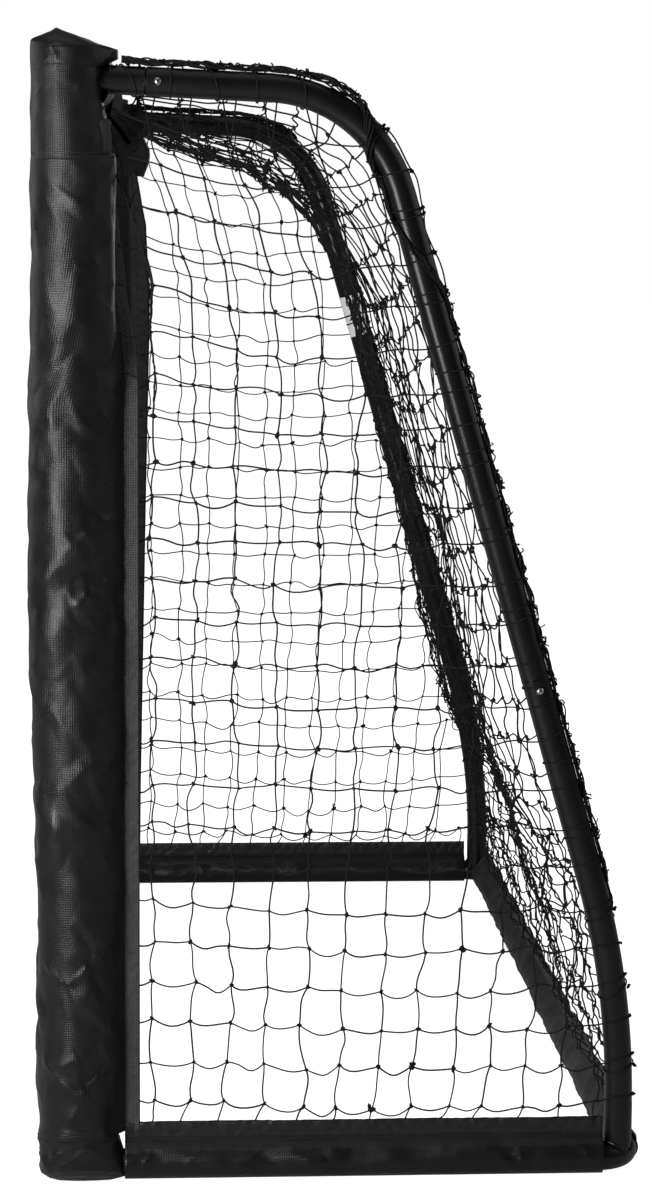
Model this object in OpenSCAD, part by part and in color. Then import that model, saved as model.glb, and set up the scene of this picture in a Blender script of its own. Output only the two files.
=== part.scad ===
/* [Goal] */
// Distance between the centres of the two front posts
mouth_w = 1340; // [900:10:1900]
// Height of the top of the crossbar tube above the floor
goal_h = 1116; // [900:1:1400]
// Distance from the posts to the rear base bar, between centres
base_depth = 562; // [460:1:900]

/* [Tubes] */
// Outer diameter of every frame tube
tube_d = 28.6; // [28:0.2:36]
// Wall of the tubes
tube_wall = 1.5; // [1:0.1:2]
// Slope of the top rails down to the rear, in degrees
top_slope = 2.4; // [0:0.1:6]
// Slant of the rear uprights from the vertical, in degrees
back_slant = 16.2; // [8:0.1:22]
// Centreline radius of the bend from a top rail into its upright
top_bend_r = 138; // [90:1:160]
// Centreline radius of the long bend that straightens the upright
foot_bend_r = 850; // [300:10:1000]
// Height at which that long bend ends above the floor
foot_straight = 70; // [66:1:180]
// Centreline radius of the two rear corners of the base
base_bend_r = 30; // [26:1:60]

/* [Tube joints] */
// Distance from a post's centre to the parting line of its sockets
stub_reach = 70; // [64:0.5:90]
// Straight leg between a rear corner's bend and its parting line
corner_leg = 20; // [12:1:40]
// Height of the parting line in the rear uprights
upright_joint_z = 512; // [400:1:620]
// Length of each swaged spigot
spigot_len = 60; // [45:1:80]
// Radial slip between a spigot and the tube that takes it
slip = 0.2; // [0.1:0.05:0.4]
// Width of the parting line between two joined tubes
parting = 1.3; // [1.2:0.1:3]
// Distance from a parting line to its snap button
button_set = 12; // [11:0.5:18]
// Diameter of a snap button's shank
button_d = 8; // [6:0.2:9]
// How far a button's dome stands out of the tube
button_out = 3.2; // [2:0.1:4]
// Running gap round a button's shank
button_gap = 0.08; // [0.02:0.01:0.1]

/* [Padding and covers] */
// Outer diameter of the foam round the posts and the crossbar
pad_d = 76.4; // [60:0.2:90]
// Width of the slit in the foam
pad_slit = 12; // [10:1:16]
// Thickness of the coated cloth
sheet = 1.2; // [0.8:0.1:1.4]
// Gap between a cover and what it covers
cover_gap = 0.3; // [0.2:0.1:0.6]
// How far a padded cover's flap reaches from the tube's centre
pad_flap = 62; // [56:1:75]
// Droop of the crossbar cover's flap below the level, in degrees
flap_droop = 25; // [0:1:40]
// Height of the base covers' flaps above the floor
base_flap_z = 57; // [50:1:70]
// Height of the seam between a post's cover and its boot
boot_h = 49; // [46:1:70]
// Height of the corner cap below the crossbar's centre
cap_drop = 72; // [60:1:110]
// Length of the corner cap along the crossbar
cap_reach = 76; // [60:1:120]

/* [Net] */
// Mesh of the side, top and shoulder nets, from knot to knot
mesh = 41; // [36:1:60]
// Mesh of the back net
back_mesh = 66; // [60:1:90]
// Width of a strand
strand = 2.4; // [1.6:0.1:4]
// Width of the border that edges each net
border = 6; // [4:0.5:12]
// Thickness of a net
net_t = 2; // [1:0.2:3]
// Diameter of the gathered net edge along the tubes
edge_d = 6; // [4:0.5:9]
// Diameter of the twine that ties the nets to the tubes
twine_d = 1.4; // [1:0.1:2]

/* [Hidden] */
$fn = 64;

tube_black = "#1c1d1f";
cover_black = "#232426";
net_black = "#101112";
foam_grey = "#4a4c50";
zinc = "silver";

tube_r = tube_d / 2;
drawn = 0.2;                                 // how much thinner bends and welded stubs are
stub_r = tube_r - drawn;
bore_r = tube_r - tube_wall;
spigot_r = bore_r - slip;
spigot_bore_r = spigot_r - tube_wall;
button_r = button_d / 2;
pad_r = pad_d / 2;
pad_bore_r = tube_r + cover_gap;
pad_cover_in = pad_r + cover_gap;            // padded covers, inside and outside
pad_cover_out = pad_cover_in + sheet;
base_cover_in = tube_r + cover_gap;          // base covers, inside and outside
base_cover_out = base_cover_in + sheet;
flap_half = sheet;                           // a flap is two layers of cloth
pad_flap_root = pad_cover_out + 8;
base_flap_root = base_cover_out + 8;
far_away = 3000;
eps = 0.01;

half_w = mouth_w / 2;
top_z = goal_h - tube_r;                     // crossbar axis
base_z = base_cover_out;                     // base tube axes, so that the covers lie on the floor
floor_z = base_z - tube_r;                   // lowest edge of the frame
inset = base_bend_r * (1 - cos(45));         // from a base tube's line in to the crown of its bend
foot_y = base_depth - inset;
lean = asin(inset / (top_z - base_z));       // the side frames lean in to stand on those crowns
cap_r = pad_cover_out + 0.5;
middle_y = (base_depth + base_cover_out - cap_r) / 2;

function fine(point) = [for (v = point) round(v * 100) / 100];

// A side frame's centreline, as [y, z] points in its own plane
slant_y = foot_y - foot_bend_r * (1 - cos(back_slant));
slant_z = foot_straight + foot_bend_r * sin(back_slant);
apex_y = (slant_y - tan(back_slant) * (top_z - slant_z)) / (1 - tan(back_slant) * tan(top_slope));
apex_z = top_z - apex_y * tan(top_slope);
top_turn = 90 - back_slant - top_slope;
top_tangent = top_bend_r * tan(top_turn / 2);
bend_on = [apex_y - top_tangent * cos(top_slope), apex_z + top_tangent * sin(top_slope)];
bend_off = [apex_y + top_tangent * sin(back_slant), apex_z - top_tangent * cos(back_slant)];
bend_mid = fine([bend_on[0] - top_bend_r * sin(top_slope), bend_on[1] - top_bend_r * cos(top_slope)]);
foot_mid = fine([foot_y - foot_bend_r, foot_straight]);
top_len = apex_y / cos(top_slope) - top_tangent;          // post axis to the start of the bend
rail_drop = (bend_off[1] - upright_joint_z) / cos(back_slant);
upright_len = (upright_joint_z - slant_z) / cos(back_slant);
rail_joint = [stub_reach * cos(top_slope), top_z - stub_reach * sin(top_slope)];
upright_joint = [slant_y - (upright_joint_z - slant_z) * tan(back_slant), upright_joint_z];
down = back_slant - 90;                      // direction of the upright, from +Y towards +Z
corner_y = base_depth - base_bend_r - corner_leg;

// Where the nets fold, as [y, z]
seat_gap = 0.5;
net_gap = 2;
flap_tip = [(pad_flap + seat_gap) * cos(flap_droop), top_z - (pad_flap + seat_gap) * sin(flap_droop)];
shoulder_on = [bend_on[0], bend_on[1] - 12];
shoulder_off_z = bend_mid[1] - top_bend_r / 2;
shoulder_off = [slant_y - (shoulder_off_z - slant_z) * tan(back_slant) - 8, shoulder_off_z];
net_foot = [base_depth, base_flap_z + seat_gap];

// Each joint's seat on the right side: [point on the tube's axis, turn, on the leaning plane].
// A seat's own X runs from the parting line into the outer tube, and its Z out of the button.
SEATS = [
    [[0, rail_joint[0], rail_joint[1]], [90 - top_slope, 0, 90], true],
    [[0, upright_joint[0], upright_joint[1]], [90 + down, 0, 90], true],
    [[half_w - stub_reach, 0, top_z], [90, 0, 180], false],
    [[half_w, stub_reach, base_z], [0, 0, 90], false],
    [[half_w, corner_y, base_z], [0, 0, -90], false],
    [[half_w - base_bend_r - corner_leg, base_depth, base_z], [0, 0, 180], false]];
TOP = 0;
UPRIGHT = 1;
CROSSBAR = 2;
RAIL_FRONT = 3;
RAIL_REAR = 4;
REAR_BAR = 5;

// Snap button, measured outwards from the tube's axis
dome_h = 2.6;
button_top = tube_r + button_out;
dome_ball = (button_r * button_r + dome_h * dome_h) / (2 * dome_h);
flange_r = 5.6;
flange_top = sqrt(spigot_bore_r * spigot_bore_r - flange_r * flange_r) - cover_gap;
flange_t = 1;
leaf_t = 0.8;
leaf_w = 8;
leaf_len = 32;
leaf_top = flange_top - flange_t;
leaf_low = leaf_top - leaf_t;
clip_low = sqrt(spigot_bore_r * spigot_bore_r - leaf_w * leaf_w / 4) - cover_gap;

module placed() {
    translate([0, -middle_y, 0]) children();
}

module left() {
    mirror([1, 0, 0]) children();
}

// The right side frame's own plane, hinged in about the crossbar's height
module side_plane() {
    translate([half_w, 0, top_z]) rotate([0, lean, 0]) translate([0, 0, -top_z]) children();
}

// A bar in the side plane from a [y, z] point, in a direction from +Y towards +Z
module bar(from, dir, len, r) {
    translate([0, from[0], from[1]]) rotate([dir - 90, 0, 0]) cylinder(h = len, r = r);
}

// A bend in the side plane with a straight length off each end, from one polar angle over a turn.
// Bending draws the tube a little thinner, and each straight laps 1 mm into the bend.
module bent(mid, radius, start, turn, before, after, r) {
    translate([0, mid[0], mid[1]]) rotate([90, 0, 90]) rotate([0, 0, start]) {
        rotate_extrude(angle = turn) translate([radius, 0]) circle(r - drawn);
        translate([radius, 1, 0]) rotate([90, 0, 0]) cylinder(h = before + 1, r = r);
        rotate([0, 0, turn]) translate([radius, -1, 0]) rotate([-90, 0, 0]) cylinder(h = after + 1, r = r);
    }
}

// Goes to a joint's seat on the right side
module seat(i) {
    if (SEATS[i][2]) {
        side_plane() translate(SEATS[i][0]) rotate_to(SEATS[i][1]) children();
    } else {
        translate(SEATS[i][0]) rotate(SEATS[i][1]) children();
    }
}

// Turns a seat on the side plane: first upright on the plane, then along its tube
module rotate_to(turn) {
    rotate([turn[0] - 90, 0, 0]) rotate([90, 0, turn[2]]) children();
}

module along_x(from, to, r) {
    translate([from, 0, 0]) rotate([0, 90, 0]) cylinder(h = to - from, r = r);
}

// Swaged end of a tube, past its parting line
module spigot() {
    translate([-0.5, 0, 0]) rotate([0, 90, 0])
        cylinder(h = parting + 0.3, r1 = tube_r - 0.3, r2 = spigot_r);
    along_x(-2, spigot_len, spigot_r);
}

module spigot_bore() {
    along_x(-3, spigot_len + 1, spigot_bore_r);
}

module button_hole() {
    translate([button_set, 0, 0]) cylinder(h = tube_r + 4, r = button_r + button_gap);
}

// Post with its two upper stubs and its foot stub
module front_post() {
    color(tube_black) difference() {
        union() {
            translate([half_w, 0, floor_z]) cylinder(h = goal_h - floor_z, r = tube_r);
            side_plane() bar([0, top_z], -top_slope, stub_reach, stub_r);
            translate([0, 0, top_z]) along_x(half_w - stub_reach, half_w, stub_r);
            translate([half_w, 0, base_z]) rotate([-90, 0, 0]) cylinder(h = stub_reach, r = stub_r);
            for (i = [TOP, CROSSBAR, RAIL_FRONT]) seat(i) spigot();
        }
        translate([half_w, 0, -1]) cylinder(h = goal_h + 2, r = bore_r);
        for (i = [TOP, CROSSBAR, RAIL_FRONT]) seat(i) {
            along_x(tube_r - stub_reach, -3, bore_r);
            spigot_bore();
            button_hole();
        }
    }
}

module crossbar() {
    color(tube_black) translate([0, 0, top_z]) difference() {
        along_x(parting - half_w + stub_reach, half_w - stub_reach - parting, tube_r);
        along_x(-half_w, half_w, bore_r);
        for (side = [-1, 1]) translate([side * (half_w - stub_reach - button_set), 0, 0])
            rotate([-90, 0, 0]) cylinder(h = tube_r + 4, r = button_r + button_gap);
    }
}

// The run of a top rail at radius r, from a start behind the post to a drop below its bend
module rail_run(r, start, drop) {
    bent(bend_mid, top_bend_r, back_slant, top_turn, drop, top_len - start, r);
}

module top_rail() {
    color(tube_black) difference() {
        union() {
            side_plane() rail_run(tube_r, stub_reach + parting, rail_drop);
            seat(UPRIGHT) spigot();
        }
        side_plane() rail_run(bore_r, stub_reach, rail_drop - 3);
        seat(UPRIGHT) {
            spigot_bore();
            button_hole();
        }
        seat(TOP) button_hole();
    }
}

// The run of a rear upright at radius r, from its parting line down to a height
module upright_run(r, start, low) {
    bent(foot_mid, foot_bend_r, 0, back_slant, foot_straight - low, upright_len - start, r);
}

// Rear corner of the base, with its two legs
module corner_run(r) {
    translate([half_w, corner_y, base_z]) rotate([-90, 0, 0]) cylinder(h = corner_leg, r = r);
    translate([half_w - base_bend_r, base_depth - base_bend_r, base_z])
        rotate_extrude(angle = 90) translate([base_bend_r, 0]) circle(r);
    translate([0, base_depth, base_z]) along_x(half_w - base_bend_r - corner_leg, half_w - base_bend_r, r);
}

module rear_upright() {
    color(tube_black) difference() {
        union() {
            side_plane() upright_run(tube_r, parting, base_z);
            corner_run(stub_r);
            for (i = [RAIL_REAR, REAR_BAR]) seat(i) spigot();
        }
        side_plane() upright_run(bore_r, -1, base_z + tube_r);
        corner_run(bore_r - tube_wall);
        for (i = [RAIL_REAR, REAR_BAR]) seat(i) {
            spigot_bore();
            button_hole();
        }
        seat(UPRIGHT) button_hole();
    }
}

module side_rail() {
    color(tube_black) difference() {
        translate([half_w, stub_reach + parting, base_z]) rotate([-90, 0, 0])
            cylinder(h = corner_y - stub_reach - 2 * parting, r = tube_r);
        translate([half_w, 0, base_z]) rotate([-90, 0, 0]) cylinder(h = base_depth, r = bore_r);
        seat(RAIL_FRONT) button_hole();
        seat(RAIL_REAR) button_hole();
    }
}

module rear_bar() {
    end_x = half_w - base_bend_r - corner_leg - parting;
    color(tube_black) difference() {
        translate([0, base_depth, base_z]) along_x(-end_x, end_x, tube_r);
        translate([0, base_depth, base_z]) along_x(-half_w, half_w, bore_r);
        seat(REAR_BAR) button_hole();
        left() seat(REAR_BAR) button_hole();
    }
}

// Domed button with the leaf that carries it
module button(i) {
    color(zinc) seat(i) translate([button_set, 0, 0]) {
        rotate_extrude() {
            translate([0, leaf_low]) square([button_r, button_top - dome_h - leaf_low]);
            intersection() {
                translate([0, button_top - dome_ball]) circle(dome_ball);
                translate([0, button_top - dome_h - 1]) square([button_r, dome_h + 1]);
            }
        }
        translate([0, 0, flange_top - flange_t]) cylinder(h = flange_t, r = flange_r);
        translate([-4, -leaf_w / 2, leaf_low]) cube([leaf_len + 4, leaf_w, leaf_t]);
    }
}

// Bent spring under one button: its bow and the leg on the far wall
module spring_clip(i) {
    bow_out = (leaf_top + clip_low) / 2;
    bow_z = (leaf_top - clip_low) / 2;
    bow_x = button_set + leaf_len + 0.5;
    seat(i) {
        translate([bow_x, leaf_w / 2, bow_z]) rotate([90, 0, 0]) rotate([0, 0, -90])
            linear_extrude(leaf_w) difference() {
                circle(bow_out);
                circle(bow_out - leaf_t);
                translate([-far_away / 2, -far_away]) square(far_away);
            }
        translate([button_set - 8, -leaf_w / 2, -clip_low]) cube([leaf_len + 8.5, leaf_w, leaf_t]);
    }
}

module button_springs() {
    color(zinc) for (i = [TOP:REAR_BAR]) {
        spring_clip(i);
        left() spring_clip(i);
    }
}

// Plugs in the tops of both posts
plug_t = 3;
module post_plugs() {
    color("black") for (side = [-1, 1]) translate([side * half_w, 0, goal_h]) {
        translate([0, 0, -14]) cylinder(h = 14, r = bore_r - slip);
        cylinder(h = plug_t, r = tube_r);
    }
}

// Plugs in the feet of both posts
module post_feet() {
    color("black") for (side = [-1, 1]) translate([side * half_w, 0, floor_z])
        cylinder(h = 18, r = bore_r - slip);
}

module post_pad() {
    low = base_z + tube_r + 1;
    color(foam_grey) difference() {
        translate([half_w, 0, low]) cylinder(h = top_z - pad_r - seat_gap - low, r = pad_r);
        translate([half_w, 0, 0]) cylinder(h = goal_h, r = pad_bore_r);
        translate([half_w - pad_slit / 2, 0, 0]) cube([pad_slit, pad_d, goal_h]);
    }
}

// Foam round the crossbar; its ends sit over the posts and fill the corner caps
module crossbar_pad() {
    color(foam_grey) difference() {
        translate([0, 0, top_z]) along_x(-half_w - pad_r, half_w + pad_r, pad_r);
        translate([0, 0, top_z]) along_x(-half_w, half_w, pad_bore_r);
        translate([-half_w, 0, top_z - pad_slit / 2]) cube([mouth_w, pad_d, pad_slit]);
        for (side = [0, 1]) mirror([side, 0, 0]) {
            translate([half_w, 0, top_z - pad_d]) cylinder(h = pad_d + tube_r + plug_t + cover_gap, r = pad_bore_r);
            side_plane() bar([0, top_z], -top_slope, pad_d, pad_bore_r);
        }
    }
}

// Point where a line from [x, y] touches a circle of radius r, on the +X side
function touch(r, x, y) =
    let (turn = atan2(y, x) - acos(r / sqrt(x * x + y * y)))
    [r * cos(turn), r * sin(turn)];

// Cover's section: a round sleeve whose two edges are drawn together into a flap along +Y
module cover_section(inner, root, reach) {
    outer = inner + sheet;
    edge = touch(outer, flap_half, root);
    tip = root - 1.8;
    nip = touch(inner, eps, tip);
    difference() {
        union() {
            circle(outer);
            polygon([edge, [flap_half, root], [flap_half, reach], [-flap_half, reach],
                [-flap_half, root], [-edge[0], edge[1]], [0, 0]]);
        }
        circle(inner);
        polygon([nip, [0, tip], [-nip[0], nip[1]], [0, 0]]);
    }
}

module post_cover() {
    low = boot_h + seat_gap;
    high = top_z - cap_drop - seat_gap;
    color(cover_black) difference() {
        translate([half_w, 0, low]) linear_extrude(high - low)
            cover_section(pad_cover_in, pad_flap_root, pad_flap);
        translate([half_w - 10, pad_cover_out + 4, 0]) cube([20, 40, base_flap_z + 3]);
    }
}

module crossbar_cover() {
    reach = half_w - cap_reach - seat_gap;
    color(cover_black) translate([-reach, 0, top_z]) rotate([-flap_droop, 0, 0])
        rotate([90, 0, 90]) rotate([0, 0, -90]) linear_extrude(2 * reach)
            cover_section(pad_cover_in, pad_flap_root, pad_flap);
}

boot_tail = 54;
rail_cover_on = boot_tail + 2;
rail_cover_off = base_depth - base_bend_r + 2;
module side_rail_cover() {
    color(cover_black) translate([half_w, rail_cover_off, base_z]) rotate([90, 0, 0])
        linear_extrude(rail_cover_off - rail_cover_on)
            cover_section(base_cover_in, base_flap_root, base_flap_z - base_z);
}

module rear_bar_cover() {
    reach = half_w - base_bend_r - 2;
    color(cover_black) translate([-reach, base_depth, base_z]) rotate([90, 0, 90])
        linear_extrude(2 * reach) cover_section(base_cover_in, base_flap_root, base_flap_z - base_z);
}

// Outline of a corner cap seen from the side, as [y, z] from the crossbar's centre
cap_corners = [[-12, 43], [-34, 29], [41, 24], [41, 9]];
module cap_outline() {
    hull() {
        circle(cap_r);
        for (c = cap_corners) translate(c) circle(3);
    }
}

module corner_cap() {
    color(cover_black) difference() {
        union() {
            translate([half_w - cap_reach, 0, top_z]) rotate([90, 0, 90])
                linear_extrude(cap_reach + pad_cover_out) cap_outline();
            translate([half_w, 0, top_z - cap_drop]) cylinder(h = cap_drop, r = pad_cover_out);
        }
        translate([0, 0, top_z]) along_x(0, half_w + pad_cover_in, pad_cover_in);
        translate([half_w, 0, top_z - cap_drop - 1]) cylinder(h = cap_drop + 1, r = pad_cover_in);
        side_plane() bar([0, top_z], -top_slope, far_away, pad_bore_r);
    }
}

// Footprint of a boot: the round post cover drawn out to the side rail
boot_tail_half = 20;
module boot_footprint(inset_by) {
    circle(pad_cover_out - inset_by);
    polygon([[-34 + inset_by, 20], [34 - inset_by, 20],
        [boot_tail_half - inset_by, boot_tail - inset_by], [-boot_tail_half + inset_by, boot_tail - inset_by]]);
}

module boot_body(inset_by, low, high) {
    difference() {
        translate([half_w, 0, low]) linear_extrude(high - low) boot_footprint(inset_by);
        translate([half_w - pad_d, boot_tail - inset_by, 0]) rotate([11, 0, 0])
            cube([2 * pad_d, pad_d, 3 * boot_h]);
    }
}

module post_boot() {
    color(cover_black) difference() {
        boot_body(0, 0, boot_h);
        boot_body(sheet, sheet - 0.4, boot_h + 1);
        translate([half_w, 20, base_z]) rotate([-90, 0, 0]) cylinder(h = boot_tail, r = base_cover_in);
    }
}

// Inner outline of a side frame, drawn in by m from the tubes and covers, as [y, z] points
function side_outline(m) =
    let (r = tube_r + m, low = base_flap_z + m, front = pad_flap + m, steps = 8)
    concat(
        [[front, low], [front, top_z - front * tan(top_slope) - r / cos(top_slope)]],
        [for (i = [0:steps]) let (a = 90 - top_slope - i * top_turn / steps)
            bend_mid + (top_bend_r - r) * [cos(a), sin(a)]],
        [for (i = [0:steps]) let (a = back_slant * (1 - i / steps))
            foot_mid + (foot_bend_r - r) * [cos(a), sin(a)]],
        [[foot_y - r, low]]);

// Flat net: an outline with rows of gaps, kept inside a second outline
module net(outline, inner, pitch_x, pitch_y, cols, rows, from) {
    linear_extrude(net_t, center = true) difference() {
        polygon(outline);
        intersection() {
            polygon(inner);
            for (i = [0:cols - 1], j = [0:rows - 1])
                translate([from[0] + i * pitch_x, from[1] + j * pitch_y])
                    square([pitch_x - strand, pitch_y - strand]);
        }
    }
}

module side_net() {
    from = [pad_flap + net_gap + border, base_flap_z + net_gap + border];
    cols = ceil((foot_y - from[0]) / mesh);
    rows = ceil((top_z - from[1]) / mesh);
    color(net_black) side_plane() rotate([90, 0, 90])
        net(side_outline(net_gap), side_outline(net_gap + border), mesh, mesh,
            cols, rows, from);
}

// Half width of a cross net at a height, between the leaning side frames
function net_half(z) = half_w - tube_r - net_gap - (top_z - z) * tan(lean);

// Flat net across the goal from one [y, z] line to another
module cross_net(a, b, pitch) {
    run = norm(b - a);
    cut = 0.7;
    wide = net_half(a[1]);
    narrow = net_half(b[1]);
    span = 2 * narrow - 2 * border + strand;
    drop = run - 2 * cut - 2 * border + strand;
    cols = floor(span / pitch);
    rows = floor(drop / pitch);
    all = [[-far_away, -far_away], [far_away, -far_away], [far_away, far_away], [-far_away, far_away]];
    color(net_black) translate([0, a[0], a[1]]) rotate([atan2(b[1] - a[1], b[0] - a[0]), 0, 0])
        net([[-wide, cut], [wide, cut], [narrow, run - cut], [-narrow, run - cut]], all,
            span / cols, drop / rows, cols, rows, [border - narrow, cut + border]);
}

// Gathered edge of the nets, laid along the outside of the tubes
tie_r = tube_r + 0.4 + twine_d / 2;
edge_off = tie_r + twine_d / 2 + 0.2 + edge_d / 2;
edge_on = 52;
edge_low = base_flap_z + 9;
module net_edge() {
    r = edge_d / 2;
    knot_at = [slant_y + edge_off * cos(back_slant), slant_z + edge_off * sin(back_slant)];
    color(net_black) side_plane() {
        bent(bend_mid, top_bend_r + edge_off, back_slant, top_turn,
            rail_drop + upright_len - 2, top_len - edge_on, r);
        translate([0, knot_at[0], knot_at[1]]) sphere(r + 1.5);
        bent(foot_mid, foot_bend_r + edge_off, 0, back_slant, foot_straight - edge_low, eps, r);
    }
}

// Loop of twine round a tube at a seat's parting line
module tie() {
    rotate([0, 90, 0]) rotate_extrude() translate([tie_r, 0]) circle(twine_d / 2, $fn = 24);
}

// Goes along a bend's frame to a distance before it, an angle on it or a distance after it
module on_bend(mid, radius, angle, before = 0) {
    translate([0, mid[0], mid[1]]) rotate([90, 0, 90]) rotate([0, 0, angle])
        translate([radius, -before, 0]) rotate([0, 0, -90]) children();
}

module net_ties() {
    color(net_black) side_plane() {
        for (s = [edge_on + 1:mesh:top_len])
            on_bend(bend_mid, top_bend_r, back_slant + top_turn, s - top_len) tie();
        for (a = [10:17:top_turn - 4]) on_bend(bend_mid, top_bend_r, back_slant + top_turn - a) tie();
        for (s = [18:mesh:rail_drop - 6]) on_bend(bend_mid, top_bend_r, back_slant, s) tie();
        for (s = [button_set + 14:mesh:upright_len])
            on_bend(foot_mid, foot_bend_r, back_slant, s - upright_len) tie();
        for (a = [1:2.7:back_slant - 1]) on_bend(foot_mid, foot_bend_r, back_slant - a) tie();
    }
}

// Blank label stuck round the inner side of one upright
label_h = 58;
label_low = 202;
module blank_label() {
    color("white") side_plane() on_bend(bend_mid, top_bend_r, back_slant, label_low)
        rotate([0, -90, 0]) rotate([0, 0, 85]) rotate_extrude(angle = 190)
            translate([tube_r + 0.1, 0]) square([0.2, label_h]);
}

placed() left() front_post();  // front_post_left
placed() front_post();  // front_post_right
placed() crossbar();
placed() left() top_rail();  // top_rail_left
placed() top_rail();  // top_rail_right
placed() left() rear_upright();  // rear_upright_left
placed() rear_upright();  // rear_upright_right
placed() left() side_rail();  // side_rail_left
placed() side_rail();  // side_rail_right
placed() rear_bar();
placed() left() button(TOP);  // button_top_left
placed() button(TOP);  // button_top_right
placed() left() button(UPRIGHT);  // button_upright_left
placed() button(UPRIGHT);  // button_upright_right
placed() left() button(CROSSBAR);  // button_crossbar_left
placed() button(CROSSBAR);  // button_crossbar_right
placed() left() button(RAIL_FRONT);  // button_rail_front_left
placed() button(RAIL_FRONT);  // button_rail_front_right
placed() left() button(RAIL_REAR);  // button_rail_rear_left
placed() button(RAIL_REAR);  // button_rail_rear_right
placed() left() button(REAR_BAR);  // button_rear_bar_left
placed() button(REAR_BAR);  // button_rear_bar_right
placed() button_springs();
placed() post_plugs();
placed() post_feet();
placed() left() post_pad();  // post_pad_left
placed() post_pad();  // post_pad_right
placed() crossbar_pad();
placed() left() post_cover();  // post_cover_left
placed() post_cover();  // post_cover_right
placed() crossbar_cover();
placed() left() side_rail_cover();  // side_rail_cover_left
placed() side_rail_cover();  // side_rail_cover_right
placed() rear_bar_cover();
placed() left() corner_cap();  // corner_cap_left
placed() corner_cap();  // corner_cap_right
placed() left() post_boot();  // post_boot_left
placed() post_boot();  // post_boot_right
placed() left() side_net();  // side_net_left
placed() side_net();  // side_net_right
placed() cross_net(flap_tip, shoulder_on, mesh);  // top_net
placed() cross_net(shoulder_on, shoulder_off, mesh);  // shoulder_net
placed() cross_net(shoulder_off, net_foot, back_mesh);  // back_net
placed() left() net_edge();  // net_edge_left
placed() net_edge();  // net_edge_right
placed() left() net_ties();  // net_ties_left
placed() net_ties();  // net_ties_right
placed() left() blank_label();
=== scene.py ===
import math

import bmesh
import bpy
import numpy as np
from mathutils import Matrix, Vector, noise


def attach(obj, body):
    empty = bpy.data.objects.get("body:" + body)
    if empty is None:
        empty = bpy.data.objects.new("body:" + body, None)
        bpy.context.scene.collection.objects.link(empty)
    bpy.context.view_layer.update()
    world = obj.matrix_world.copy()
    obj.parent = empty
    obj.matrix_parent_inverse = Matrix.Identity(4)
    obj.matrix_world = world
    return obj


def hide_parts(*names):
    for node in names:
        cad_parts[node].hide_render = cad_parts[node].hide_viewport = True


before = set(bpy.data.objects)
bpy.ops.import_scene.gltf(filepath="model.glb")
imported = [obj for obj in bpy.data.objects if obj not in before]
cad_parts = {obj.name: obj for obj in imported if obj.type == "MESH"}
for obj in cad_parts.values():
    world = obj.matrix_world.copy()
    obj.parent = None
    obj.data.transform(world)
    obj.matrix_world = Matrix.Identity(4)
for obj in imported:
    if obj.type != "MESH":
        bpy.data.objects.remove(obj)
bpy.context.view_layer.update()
rng = np.random.default_rng(11)
tau = 2 * math.pi
sides = ((1, "Right"), (-1, "Left"))

# the frame's own sizes, in metres and degrees; y counts from the posts
goal = {"halfWidth": 0.670, "postY": -0.2688, "topZ": 1.1017, "baseZ": 0.0158, "depth": 0.562,
        "tube": 0.0143, "topSlope": 2.4, "backSlant": 16.2, "topBend": 0.138, "footBend": 0.850,
        "footStraight": 0.070, "cornerBend": 0.030, "pad": 0.0397, "railCover": 0.0158}
halfWidth, postY, topZ, baseZ = goal["halfWidth"], goal["postY"], goal["topZ"], goal["baseZ"]
tubeR, padR, railR = goal["tube"], goal["pad"], goal["railCover"]
cornerInset = goal["cornerBend"] * (1 - math.cos(math.radians(45)))


# ---- camera

camera = {"place": (3.5973, 0.0722 + postY, 0.9747), "yaw": 3.455, "pitch": 7.443,
          "roll": 0.367, "lens": 89.18}


def makeCamera():
    yaw, pitch, roll = (math.radians(camera[k]) for k in ("yaw", "pitch", "roll"))
    ahead = Vector((-math.cos(yaw) * math.cos(pitch), math.sin(yaw) * math.cos(pitch),
                    -math.sin(pitch)))
    level = ahead.cross(Vector((0, 0, 1))).normalized()
    up = level.cross(ahead)
    right = math.cos(roll) * level + math.sin(roll) * up
    up = math.cos(roll) * up - math.sin(roll) * level
    data = bpy.data.cameras.new("camera")
    data.lens, data.sensor_width = camera["lens"], 36.0
    data.clip_start, data.clip_end = 0.1, 100
    eye = bpy.data.objects.new("camera", data)
    bpy.context.scene.collection.objects.link(eye)
    eye.matrix_world = Matrix.Translation(camera["place"]) @ Matrix(
        (right, up, -ahead)).transposed().to_4x4()
    bpy.context.scene.camera = eye


# ---- shader helpers

class Wire:
    # a node's output socket that takes part in plain arithmetic
    def __init__(self, nodes, socket):
        self.nodes, self.socket = nodes, socket

    def calc(self, operation, *others):
        return self.nodes.node("ShaderNodeMath", {"operation": operation},
                               dict(enumerate((self,) + others)))

    def __add__(self, other):
        return self.calc("ADD", other)

    __radd__ = __add__

    def __mul__(self, other):
        return self.calc("MULTIPLY", other)

    def __sub__(self, other):
        return self.calc("SUBTRACT", other)

    def __pow__(self, other):
        return self.calc("POWER", other)

    def clamp(self):
        return self.calc("MAXIMUM", 0.0).calc("MINIMUM", 1.0)

    def part(self, axis):
        return self.nodes.node("ShaderNodeSeparateXYZ", {}, {0: self}, out=axis)

    def also(self, name):
        return Wire(self.nodes, self.socket.node.outputs[name])


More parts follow.
